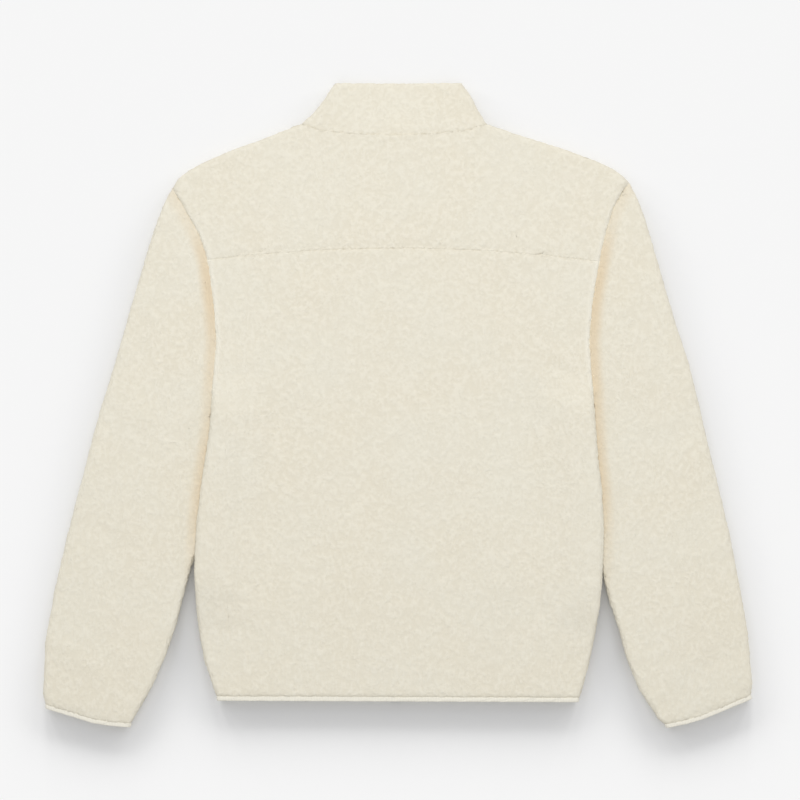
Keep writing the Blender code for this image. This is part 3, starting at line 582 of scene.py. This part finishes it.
def spread(tree, value, low, high, to_low=0.0, to_high=1.0):
    """Value moved from one range to another and kept inside it."""
    return add_node(tree, "ShaderNodeMapRange", {
        "Value": value, "From Min": low, "From Max": high, "To Min": to_low, "To Max": to_high,
    }).outputs["Result"]


def fleece_material(settings):
    """Curly cream pile: mottled tips, painted shade in the hollows, painted warm shade at seams and beside
    the body's side edges, a painted highlight on the body's raised side edges, and fine fibres.
    """
    material, tree, shader = new_material("cream_pile_fleece")
    place = add_node(tree, "ShaderNodeTexCoord").outputs["Object"]
    curl = add_node(tree, "ShaderNodeAttribute", attribute_name="curl").outputs["Fac"]
    near = add_node(tree, "ShaderNodeAttribute", attribute_name="near").outputs["Fac"]
    shade_mark = add_node(tree, "ShaderNodeAttribute", attribute_name="shade").outputs["Fac"]
    rim_highlight_mark = add_node(tree, "ShaderNodeAttribute", attribute_name="rim_highlight").outputs["Fac"]
    cloud = add_node(tree, "ShaderNodeTexNoise", {
        "Vector": place, "Scale": 11.0, "Detail": 2.0, "Roughness": 0.55}).outputs["Fac"]
    clump = add_node(tree, "ShaderNodeTexNoise", {
        "Vector": place, "Scale": 75.0, "Detail": 2.0, "Roughness": 0.6}).outputs["Fac"]
    fibre = add_node(tree, "ShaderNodeTexNoise", {
        "Vector": place, "Scale": 620.0, "Detail": 3.0, "Roughness": 0.65,
        "Distortion": 1.4}).outputs["Fac"]
    # Painted shade: the colour darkens from the curl tips into the hollows between the curls, by the
    # stored curl height
    tips = spread(tree, curl, 0.05, 0.65)
    base = mix_colours(tree, tips, settings.hollow_shade_and_mottle_colour, settings.pile_colour)
    tufted = mix_colours(tree, spread(tree, clump, 0.34, 0.68, 0.0, 0.12), base,
                         settings.hollow_shade_and_mottle_colour)
    tone = mix_colours(tree, spread(tree, cloud, 0.36, 0.66, 0.0, 0.35), tufted,
                       settings.cool_colour)
    fine = mix_colours(tree, spread(tree, fibre, 0.30, 0.70, 0.16, 0.0), tone,
                       settings.hollow_shade_and_mottle_colour)
    streak = add_node(tree, "ShaderNodeTexNoise", {
        "Vector": add_node(tree, "ShaderNodeMapping", {
            "Vector": place, "Scale": (1.0, 0.30, 1.0)}).outputs["Vector"],
        "Scale": 330.0, "Detail": 2.0, "Roughness": 0.6}).outputs["Fac"]
    level = add_node(tree, "ShaderNodeSeparateXYZ", {"Vector": place}).outputs["Y"]
    streaks = add_node(tree, "ShaderNodeMath", {
        0: spread(tree, streak, 0.42, 0.66), 1: spread(tree, level, -0.08, -0.30, 0.05, 0.60)},
        operation="MULTIPLY").outputs[0]
    grained = mix_colours(tree, streaks, fine, settings.hollow_shade_and_mottle_colour)
    # Painted shade: the colour darkens a little toward the crease shade where the stored nearness says
    # another piece meets this one
    seam_shaded = mix_colours(tree, spread(tree, near, 0.4, 1.0, 0.0, 0.05), grained,
                         settings.crease_shade_colour)
    # Painted highlight: the colour lightens on the body's raised side edge beside a sleeve, by the stored
    # highlight mark
    rim_highlighted = mix_colours(tree, spread(tree, rim_highlight_mark, 0.0, 1.0), seam_shaded, settings.rim_highlight_colour)
    # Painted warm shade on the sleeve beside the body's side edge, by the stored shade mark
    warm = mix_colours(tree, spread(tree, shade_mark, 0.0, 1.0, 0.0, 0.95), rim_highlighted,
                       settings.crease_shade_colour)
    tree.links.new(warm, shader.inputs["Base Color"])
    loop = add_node(tree, "ShaderNodeTexNoise", {
        "Vector": place, "Scale": 270.0, "Detail": 1.0, "Roughness": 0.5,
        "Distortion": 2.6}).outputs["Fac"]
    loops = add_node(tree, "ShaderNodeBump", {
        "Strength": 0.5, "Distance": 0.0011, "Height": loop}).outputs["Normal"]
    bump = add_node(tree, "ShaderNodeBump", {
        "Strength": 0.6, "Distance": 0.0006, "Height": fibre, "Normal": loops}).outputs["Normal"]
    tree.links.new(bump, shader.inputs["Normal"])
    shader.inputs["Roughness"].default_value = 0.95
    shader.inputs["Specular IOR Level"].default_value = 0.12
    shader.inputs["Sheen Weight"].default_value = 0.25
    shader.inputs["Sheen Roughness"].default_value = 0.55
    shader.inputs["Sheen Tint"].default_value = (1.0, 0.97, 0.90, 1.0)
    return material


def elastic_material(settings):
    """Knitted elastic: fine ribs across the strip, with a little painted shade between them."""
    material, tree, shader = new_material("ribbed_elastic")
    place = add_node(tree, "ShaderNodeTexCoord").outputs["Object"]
    ribs = add_node(tree, "ShaderNodeTexWave", {
        "Vector": place, "Scale": 0.314 / settings.rib_pitch, "Distortion": 0.6, "Detail": 1.0},
        wave_type="BANDS", bands_direction="X").outputs["Fac"]
    lint = add_node(tree, "ShaderNodeTexNoise", {
        "Vector": place, "Scale": 900.0, "Detail": 2.0}).outputs["Fac"]
    # Painted shade: the colour darkens between the ribs, where their bump is lowest; the lint darkens it
    # at random
    dark = tuple(0.93 * value for value in settings.colour)
    ribbed = mix_colours(tree, spread(tree, ribs, 0.1, 0.8), dark, settings.colour)
    tree.links.new(mix_colours(tree, spread(tree, lint, 0.3, 0.7, 0.12, 0.0), ribbed, dark),
                   shader.inputs["Base Color"])
    height = add_node(tree, "ShaderNodeMath", {0: ribs, 1: lint}, operation="ADD").outputs[0]
    bump = add_node(tree, "ShaderNodeBump", {
        "Strength": 0.6, "Distance": 0.0003, "Height": height}).outputs["Normal"]
    tree.links.new(bump, shader.inputs["Normal"])
    shader.inputs["Roughness"].default_value = 0.78
    shader.inputs["Sheen Weight"].default_value = 0.15
    return material


def tape_material(settings):
    """Woven zip tape: a fine herringbone of crossing threads, with painted shade between them."""
    material, tree, shader = new_material("woven_tape")
    place = add_node(tree, "ShaderNodeTexCoord").outputs["Object"]
    waves = [add_node(tree, "ShaderNodeTexWave", {
        "Vector": place, "Scale": scale, "Distortion": 0.3},
        wave_type="BANDS", bands_direction=direction).outputs["Fac"]
        for scale, direction in ((420.0, "X"), (330.0, "DIAGONAL"))]
    weave = add_node(tree, "ShaderNodeMath", {0: waves[0], 1: waves[1]},
                     operation="MULTIPLY").outputs[0]
    # Painted shade: the colour darkens where the weave's bump is low, between the threads
    dark = tuple(0.72 * value for value in settings.tape_colour)
    tree.links.new(mix_colours(tree, spread(tree, weave, 0.1, 0.7), dark, settings.tape_colour),
                   shader.inputs["Base Color"])
    bump = add_node(tree, "ShaderNodeBump", {
        "Strength": 0.6, "Distance": 0.0002, "Height": weave}).outputs["Normal"]
    tree.links.new(bump, shader.inputs["Normal"])
    shader.inputs["Roughness"].default_value = 0.85
    return material


def teeth_material(settings):
    """Moulded plastic teeth with a faint flow mark."""
    material, tree, shader = new_material("moulded_teeth")
    place = add_node(tree, "ShaderNodeTexCoord").outputs["Object"]
    flow = add_node(tree, "ShaderNodeTexNoise", {
        "Vector": place, "Scale": 300.0, "Detail": 2.0}).outputs["Fac"]
    dark = tuple(0.86 * value for value in settings.teeth_colour)
    tree.links.new(mix_colours(tree, spread(tree, flow, 0.35, 0.65), dark, settings.teeth_colour),
                   shader.inputs["Base Color"])
    tree.links.new(spread(tree, flow, 0.3, 0.7, 0.38, 0.52), shader.inputs["Roughness"])
    return material


def metal_material(settings):
    """Cast and tumbled zinc alloy with a soft grain."""
    material, tree, shader = new_material("tumbled_metal")
    place = add_node(tree, "ShaderNodeTexCoord").outputs["Object"]
    grain = add_node(tree, "ShaderNodeTexNoise", {
        "Vector": place, "Scale": 800.0, "Detail": 3.0}).outputs["Fac"]
    worn = tuple(0.80 * value for value in settings.metal_colour)
    tree.links.new(mix_colours(tree, spread(tree, grain, 0.35, 0.65), worn, settings.metal_colour),
                   shader.inputs["Base Color"])
    tree.links.new(spread(tree, grain, 0.3, 0.7, 0.26, 0.42), shader.inputs["Roughness"])
    bump = add_node(tree, "ShaderNodeBump", {
        "Strength": 0.2, "Distance": 0.0001, "Height": grain}).outputs["Normal"]
    tree.links.new(bump, shader.inputs["Normal"])
    shader.inputs["Metallic"].default_value = 1.0
    return material


def add_piece(name, mesh):
    """Object in the scene from a finished bmesh, which is freed."""
    data = bpy.data.meshes.new(name)
    mesh.to_mesh(data)
    mesh.free()
    piece = bpy.data.objects.new(name, data)
    bpy.context.scene.collection.objects.link(piece)
    return piece


def dress(piece, material, body):
    """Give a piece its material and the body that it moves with."""
    piece.data.materials.clear()
    piece.data.materials.append(material)
    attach(piece, body)


class JACKET_OT_fleece(Operator):
    """Lay curly pile on every fleece piece, on the form of its solid."""

    bl_idname = "jacket.fleece"
    bl_label = "Fleece pieces"

    # First mesh step, on which a face is sorted as shown or covered, and how that is felt
    CLASSIFY_STEP = 0.009
    LAYER_REACH = 0.016
    RAY_START = 0.0003
    # How far a point feels the next piece, and the ranges of nearness that the seam works in
    NEAR_REACH = 0.007
    AT_SEAM = (0.35, 0.60)
    AT_LAP = (0.80, 0.97)
    AT_CORNER = (0.93, 0.99)
    ACROSS_SEAM = (0.5, 0.9)
    LAP_ROUNDS = 6
    # The pile laps over a seam and its corner sinks, except on the side that lies down
    LAP = 0.0012
    CORNER_SINK = 0.00045
    SEAM_SIDE = 0.0042
    OFF_FLOOR = (0.0005, 0.0025)
    # Range of a normal's rise in which cloth counts as facing up, and the curls' middle level
    FACING_UP = (0.2, 0.8)
    SINK = 0.35
    # A sleeve rises to the body's side edge, and laps under it at the underarm
    EDGE_REACH = 0.024
    EDGE_RISE = 0.004
    AT_EDGE = (0.55, 0.90)
    UNDERARM_LAP = 0.0035
    AT_UNDERARM = (0.60, 0.74)
    UNDERARM_HEM_END = (-0.045, -0.015)
    UNDERARM_TOP_END = (0.020, 0.008)
    # The painted highlight lies on the body's raised pile beside a sleeve, between these levels
    AT_RIM = (0.15, 0.70)
    RIM_TOP_END = (0.260, 0.165)
    RIM_HEM_END = (-0.20, -0.06)
    RIM_FACING = (-0.4, 0.3)
    AT_SHADE = (0.30, 0.80)
    # Depth of the painted shade on the sleeve beside the body's edge, by the level from hem to shoulder
    SHADE_LEVELS = (-0.185, -0.150, -0.105, -0.050, 0.007, 0.064, 0.120, 0.150, 0.180, 0.207)
    SHADE_SHARES = {
        "sleeve_left": (0.30, 0.60, 0.85, 0.85, 0.50, 0.65, 1.00, 1.00, 0.80, 0.30),
        "sleeve_right": (0.30, 0.50, 0.95, 0.95, 0.90, 0.90, 1.00, 1.00, 0.80, 0.30),
    }

    def execute(self, context):
        settings = context.scene.jacket_fleece
        material = fleece_material(settings)
        layers = build_tree(CLOTH_NODES)
        for cut in CUTS:
            others = [node for node in (*CLOTH_NODES, *(strip.node for strip in STRIPS))
                      if node != cut.node]
            piece = self.lay_pile(cut, settings, layers, build_tree(others))
            dress(piece, material, JACKET)
            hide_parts(cut.node)
        return {"FINISHED"}

    def lay_pile(self, cut, settings, layers, others):
        """One fleece piece, fine where it shows and coarse where it is covered."""
        skin = Skin(cut.node)
        skin.refine(self.CLASSIFY_STEP)
        skin.turn_edges()
        skin.shown[:] = 0.0
        skin.shown[skin.faces[self.find_open(skin, layers)].ravel()] = 1.0
        skin.widen_shown()
        for coarser in (2.0, 1.0):
            skin.turn_edges()
            facing = unit(skin.face_normals())[:, 2]
            fine = np.where(facing > -0.2, settings.top_step, settings.under_step)
            touched = skin.shown[skin.faces].max(1) > 0.5
            skin.refine(coarser * np.where(touched, fine, settings.hidden_step))
        exposure = skin.shown
        normals = skin.point_normals()
        curl = pile_height(skin.points, settings.curl_size)
        near, way = nearest(skin.points, others, self.NEAR_REACH)
        upward = ease(*self.FACING_UP, normals[:, 2])
        skin.points[:, 2] += crease_rise(skin.points) * MM * upward * exposure * (1.0 - near)
        height = (curl - self.SINK) * settings.curl_depth * exposure
        dip = self.seam_dip(skin.points, way, layers)
        fill = skin.blur(np.clip(dip, 0.0, settings.seam_fill) * ease(*self.AT_SEAM, near), 1)
        sunk = self.CORNER_SINK * ease(*self.AT_CORNER, near)
        skin.points[:, 2] += (fill - sunk) * upward * exposure
        raised = ease(*self.OFF_FLOOR, skin.points[:, 2])
        lap = self.LAP * ease(*self.AT_LAP, near) * exposure * raised
        across = unit(way) * ease(*self.ACROSS_SEAM, near)[:, None]
        across = unit(skin.blur(across, self.LAP_ROUNDS))
        skin.points += normals * height[:, None] + across * lap[:, None]
        shade, rim_highlight = self.meet_edge(cut.node, skin, upward)
        skin.points[:, 2] = np.maximum(skin.points[:, 2], 0.0)
        # Stored marks: the curl height, the nearness that carries the painted seam shade, the painted
        # shade beside the body's edge and the painted highlight on its raised side edge
        return skin.make(f"{cut.node}_cloth", {
            "curl": curl, "near": near * exposure, "shade": shade, "rim_highlight": rim_highlight})

    def find_open(self, skin, layers):
        """For each face, whether no other layer of cloth lies over it."""
        centres = skin.points[skin.faces].mean(1)
        normals = unit(skin.face_normals())
        return np.array([
            layers.ray_cast(centre + normal * self.RAY_START, normal, self.LAYER_REACH)[0] is None
            for centre, normal in zip(map(Vector, centres), map(Vector, normals))
        ])

    def seam_dip(self, points, way, layers):
        """How far each point lies under the cloth a little to both sides of the seam."""
        down = Vector((0.0, 0.0, -1.0))
        across = np.zeros_like(points)
        across[:, :2] = unit(way[:, :2]) * self.SEAM_SIDE
        dip = np.zeros(len(points))
        for index in np.flatnonzero(np.linalg.norm(way, axis=1) > 0.0):
            levels = []
            for side in (-1.0, 1.0):
                start = Vector(points[index] + side * across[index])
                start.z = CAD_HIGH.z + self.SEAM_SIDE
                hit = layers.ray_cast(start, down)[0]
                levels.append(points[index, 2] if hit is None else hit.z)
            dip[index] = min(levels) - points[index, 2]
        return dip

    def meet_edge(self, node, skin, upward):
        """Raise a sleeve to the body's side edge, and mark the painted shade on the sleeve and the painted
        highlight on the body's raised edge beside it.
        """
        shade = np.zeros(len(skin.points))
        rim_highlight = np.zeros(len(skin.points))
        level = skin.points[:, 1]
        if node.startswith("sleeve"):
            near, way = nearest(skin.points, build_tree(("back_yoke", "back_panel")),
                                self.EDGE_REACH)
            rise = np.clip(way[:, 2], 0.0, self.EDGE_RISE) * ease(*self.AT_EDGE, near) * upward
            under = ease(*self.UNDERARM_HEM_END, level) * ease(*self.UNDERARM_TOP_END, level)
            across = self.UNDERARM_LAP * under * ease(*self.AT_UNDERARM, near)
            skin.points[:, 2] += rise
            skin.points[:, 0] += across * (1.0 if node.endswith("left") else -1.0)
            # Painted shade on the sleeve beside the body's edge, deepest close to it and on cloth that
            # faces up
            depth = np.interp(level, self.SHADE_LEVELS, self.SHADE_SHARES[node])
            shade = ease(*self.AT_SHADE, near) * depth * upward
        elif node.startswith("back"):
            near, _ = nearest(skin.points, build_tree(("sleeve_left", "sleeve_right")),
                              self.EDGE_REACH / 2.0)
            # Painted highlight on the body's raised side edge beside a sleeve, also on its side wall
            outward = ease(*self.RIM_FACING, skin.point_normals()[:, 2])
            along = ease(*self.RIM_TOP_END, level) * ease(*self.RIM_HEM_END, level)
            rim_highlight = ease(*self.AT_RIM, near) * along * outward
        return shade, rim_highlight


class JACKET_OT_bindings(Operator):
    """Knit the narrow elastic bindings on their solids."""

    bl_idname = "jacket.bindings"
    bl_label = "Hem and cuff bindings"

    # A binding rises to the cloth beside it, and its ribs stand out and sink in
    EDGE_REACH = 0.004
    EDGE_RISE = 0.0015
    AT_EDGE = (0.3, 0.8)
    RIB_DEPTH = 0.00012
    RIB_MIDDLE = 0.6

    def execute(self, context):
        settings = context.scene.jacket_binding
        material = elastic_material(settings)
        cloth = build_tree(CLOTH_NODES)
        for strip in STRIPS:
            skin = Skin(strip.node)
            for coarser in (4.0, 2.0, 1.0):
                skin.refine(coarser * settings.step)
                skin.turn_edges()
            normals = skin.point_normals()
            along = skin.points @ np.array(self.direction(strip.node))
            ribs = np.abs(np.sin(math.pi * along / (2.0 * settings.rib_pitch)))
            height = (ribs - self.RIB_MIDDLE) * self.RIB_DEPTH
            near, way = nearest(skin.points, cloth, self.EDGE_REACH)
            rise = np.clip(way[:, 2], 0.0, self.EDGE_RISE) * ease(*self.AT_EDGE, near)
            skin.points[:, 2] += rise
            skin.points += normals * height[:, None]
            skin.points[:, 2] = np.maximum(skin.points[:, 2], FLOOR_GAP)
            piece = skin.make(f"{strip.node}_knit", {})
            dress(piece, material, JACKET)
            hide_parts(strip.node)
        return {"FINISHED"}

    def direction(self, node):
        """Plan direction along a strip."""
        low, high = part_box(node)
        rise = {"cuff_binding_left": -1.0, "cuff_binding_right": 1.0}.get(node, 0.0)
        run = Vector((high.x - low.x, rise * (high.y - low.y), 0.0))
        return run.normalized()


class JACKET_OT_zip(Operator):
    """Mould the separate teeth on their bars and finish tapes, slider and pull."""

    bl_idname = "jacket.zip"
    bl_label = "Zip"

    # Angle in radians under which a casting's faces are one, and the width of its worn edges
    ONE_FACE = 0.02
    WORN_EDGE = 0.00022
    # A tooth from its root to its tip: share of its length and half width as a share of a pitch
    TOOTH = ((0.0, 0.30), (0.45, 0.30), (0.62, 0.22), (0.80, 0.34), (1.0, 0.24))
    TIP_THINNER = 0.18
    # Corners of a tooth's section, with small chamfers
    SECTION = ((-1, -0.8), (-0.8, -1), (0.8, -1), (1, -0.8), (1, 0.8), (0.8, 1), (-0.8, 1), (-1, 0.8))

    def execute(self, context):
        settings = context.scene.jacket_zip
        teeth = teeth_material(settings)
        tape = tape_material(settings)
        metal = metal_material(settings)
        for side, sign in (("left", -1), ("right", 1)):
            row = self.tooth_row(side, sign, settings)
            dress(row, teeth, JACKET)
            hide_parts(f"zip_teeth_{side}")
            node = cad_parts[f"zip_tape_{side}"]
            node.data.materials.clear()
            node.data.materials.append(tape)
        for name, body in (("zip_slider", JACKET), ("zip_pull", PULL)):
            piece = self.casting(name)
            dress(piece, metal, body)
            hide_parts(name)
        return {"FINISHED"}

    def casting(self, name):
        """A cast metal piece on its solid, with worn edges."""
        mesh = bmesh.new()
        mesh.from_mesh(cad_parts[name].data)
        bmesh.ops.remove_doubles(mesh, verts=mesh.verts, dist=SAME_PLACE)
        bmesh.ops.dissolve_limit(mesh, angle_limit=self.ONE_FACE, verts=mesh.verts,
                                 edges=mesh.edges)
        piece = add_piece(f"{name}_cast", mesh)
        bevel = piece.modifiers.new("worn_edges", "BEVEL")
        bevel.width = self.WORN_EDGE
        bevel.segments = 3
        bevel.limit_method = "ANGLE"
        return piece

    def tooth_row(self, side, sign, settings):
        """One side's teeth, half a pitch apart from the other side's, as one mesh."""
        low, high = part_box(f"zip_teeth_{side}")
        pitch = settings.tooth_pitch
        offset = (0.5 - 0.25 * sign) * pitch
        root, tip = (high.x, low.x) if sign > 0 else (low.x, high.x)
        middle = (low.z + high.z) / 2.0
        half = (high.z - low.z) / 2.0
        mesh = bmesh.new()
        for index in range(int((high.y - low.y) / pitch)):
            centre = low.y + offset + index * pitch
            rings = []
            for share, width in self.TOOTH:
                x = root + (tip - root) * share
                deep = half * (1.0 - self.TIP_THINNER * share)
                rings.append([mesh.verts.new((x, centre + dy * width * pitch, middle + dz * deep))
                              for dy, dz in self.SECTION])
            for before, after in zip(rings, rings[1:]):
                for corner in range(len(before)):
                    beside = (corner + 1) % len(before)
                    mesh.faces.new((before[corner], before[beside], after[beside], after[corner]))
            mesh.faces.new(rings[0])
            mesh.faces.new(list(reversed(rings[-1])))
        bmesh.ops.recalc_face_normals(mesh, faces=mesh.faces)
        return add_piece(f"zip_{side}_teeth", mesh)


def light_only(light, receivers):
    """Let a light fall on these objects alone."""
    lit = bpy.data.collections.new(f"{light.name}_receivers")
    for item in receivers:
        lit.objects.link(item)
    light.light_linking.receiver_collection = lit


class JACKET_OT_stage(Operator):
    """Plain pale floor, soft light and the camera straight above."""

    bl_idname = "jacket.stage"
    bl_label = "Floor, light and camera"

    # Share of each low light, from one side to the other
    LOW_PARTS = (0.07, 0.11, 0.18, 0.28, 0.18, 0.11, 0.07)
    SENSOR_WIDTH = 36.0
    HALF_FLOOR = 6.0

    def execute(self, context):
        settings = context.scene.jacket_stage
        scene = context.scene
        scene.view_settings.view_transform = "Standard"
        self.lay_floor(settings)
        world = bpy.data.worlds.new("studio")
        world.use_nodes = True
        scene.world = world
        background = world.node_tree.nodes["Background"]
        background.inputs["Color"].default_value = (1.0, 1.0, 1.0, 1.0)
        background.inputs["Strength"].default_value = settings.sky_strength
        for index, part in enumerate(self.LOW_PARTS):
            place = index - len(self.LOW_PARTS) // 2
            lamp = bpy.data.lights.new(f"low_light_{index}", "SUN")
            lamp.energy = part * settings.low_share * math.pi / math.sin(settings.low_height)
            lamp.angle = settings.low_spread
            light = bpy.data.objects.new(lamp.name, lamp)
            light.rotation_euler = (math.pi / 2.0 - settings.low_height, 0.0,
                                    math.pi + place * settings.low_turn)
            scene.collection.objects.link(light)
            light_only(light, [bpy.data.objects["floor"]])
        view = bpy.data.cameras.new("overhead")
        view.lens = settings.lens
        view.sensor_width = self.SENSOR_WIDTH
        camera = bpy.data.objects.new("overhead", view)
        height = settings.view_width * settings.lens / view.sensor_width
        camera.location = (settings.view_x, settings.view_y, height + CAD_HIGH.z / 2.0)
        scene.collection.objects.link(camera)
        scene.camera = camera
        return {"FINISHED"}

    def lay_floor(self, settings):
        """A wide plain floor just under the jacket."""
        half = self.HALF_FLOOR
        mesh = bpy.data.meshes.new("floor")
        mesh.from_pydata([(-half, -half, 0.0), (half, -half, 0.0), (half, half, 0.0),
                          (-half, half, 0.0)], [], [(0, 1, 2, 3)])
        floor = bpy.data.objects.new("floor", mesh)
        floor.location.z = -FLOOR_GAP
        bpy.context.scene.collection.objects.link(floor)
        material, tree, shader = new_material("pale_floor")
        place = add_node(tree, "ShaderNodeTexCoord").outputs["Object"]
        grain = add_node(tree, "ShaderNodeTexNoise", {
            "Vector": place, "Scale": 40.0, "Detail": 2.0}).outputs["Fac"]
        dark = tuple(0.995 * value for value in settings.floor_colour)
        tree.links.new(mix_colours(tree, grain, dark, settings.floor_colour),
                       shader.inputs["Base Color"])
        shader.inputs["Roughness"].default_value = 0.9
        shader.inputs["Specular IOR Level"].default_value = 0.0
        mesh.materials.append(material)
        floor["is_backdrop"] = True


class JACKET_OT_key_light(Operator):
    """Soft key light on the jacket, hung once all its pieces are there."""

    bl_idname = "jacket.key_light"
    bl_label = "Key light"

    def execute(self, context):
        settings = context.scene.jacket_stage
        lamp = bpy.data.lights.new("softbox", "AREA")
        lamp.shape = "SQUARE"
        lamp.size = settings.key_size
        place = Vector((0.0, settings.key_y, settings.key_z))
        drop = place.z / place.length
        lamp.energy = settings.key_share * math.pi ** 2 * place.length_squared / drop
        light = bpy.data.objects.new("softbox", lamp)
        light.location = place
        light.rotation_euler = (-math.atan2(place.y, place.z), 0.0, 0.0)
        context.scene.collection.objects.link(light)
        light_only(light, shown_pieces())
        return {"FINISHED"}


class JACKET_PT_tools(Panel):
    """Sidebar panel with the settings and the operators."""

    bl_label = "Fleece jacket"
    bl_space_type = "VIEW_3D"
    bl_region_type = "UI"
    bl_category = "Jacket"

    def draw(self, context):
        scene = context.scene
        for settings, *operators in ((scene.jacket_stage, "jacket.stage", "jacket.key_light"),
                                     (scene.jacket_fleece, "jacket.fleece"),
                                     (scene.jacket_binding, "jacket.bindings"),
                                     (scene.jacket_zip, "jacket.zip")):
            box = self.layout.box()
            for key in settings.bl_rna.properties.keys():
                if key not in {"rna_type", "name"}:
                    box.prop(settings, key)
            for operator in operators:
                box.operator(operator)


CLASSES = (FleeceSettings, BindingSettings, ZipSettings, StageSettings, JACKET_OT_fleece,
           JACKET_OT_bindings, JACKET_OT_zip, JACKET_OT_stage, JACKET_OT_key_light,
           JACKET_PT_tools)
GROUPS = {"jacket_fleece": FleeceSettings, "jacket_binding": BindingSettings,
          "jacket_zip": ZipSettings, "jacket_stage": StageSettings}


def register():
    """Add the classes and the scene's settings."""
    for item in CLASSES:
        bpy.utils.register_class(item)
    for name, group in GROUPS.items():
        setattr(bpy.types.Scene, name, PointerProperty(type=group))


def unregister():
    """Take the settings and the classes away again."""
    for name in GROUPS:
        delattr(bpy.types.Scene, name)
    for item in reversed(CLASSES):
        bpy.utils.unregister_class(item)


def main():
    """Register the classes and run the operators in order."""
    register()
    bpy.ops.jacket.stage()
    bpy.ops.jacket.fleece()
    bpy.ops.jacket.bindings()
    bpy.ops.jacket.zip()
    bpy.ops.jacket.key_light()
    bpy.context.view_layer.update()


if __name__ == "__main__":
    main()
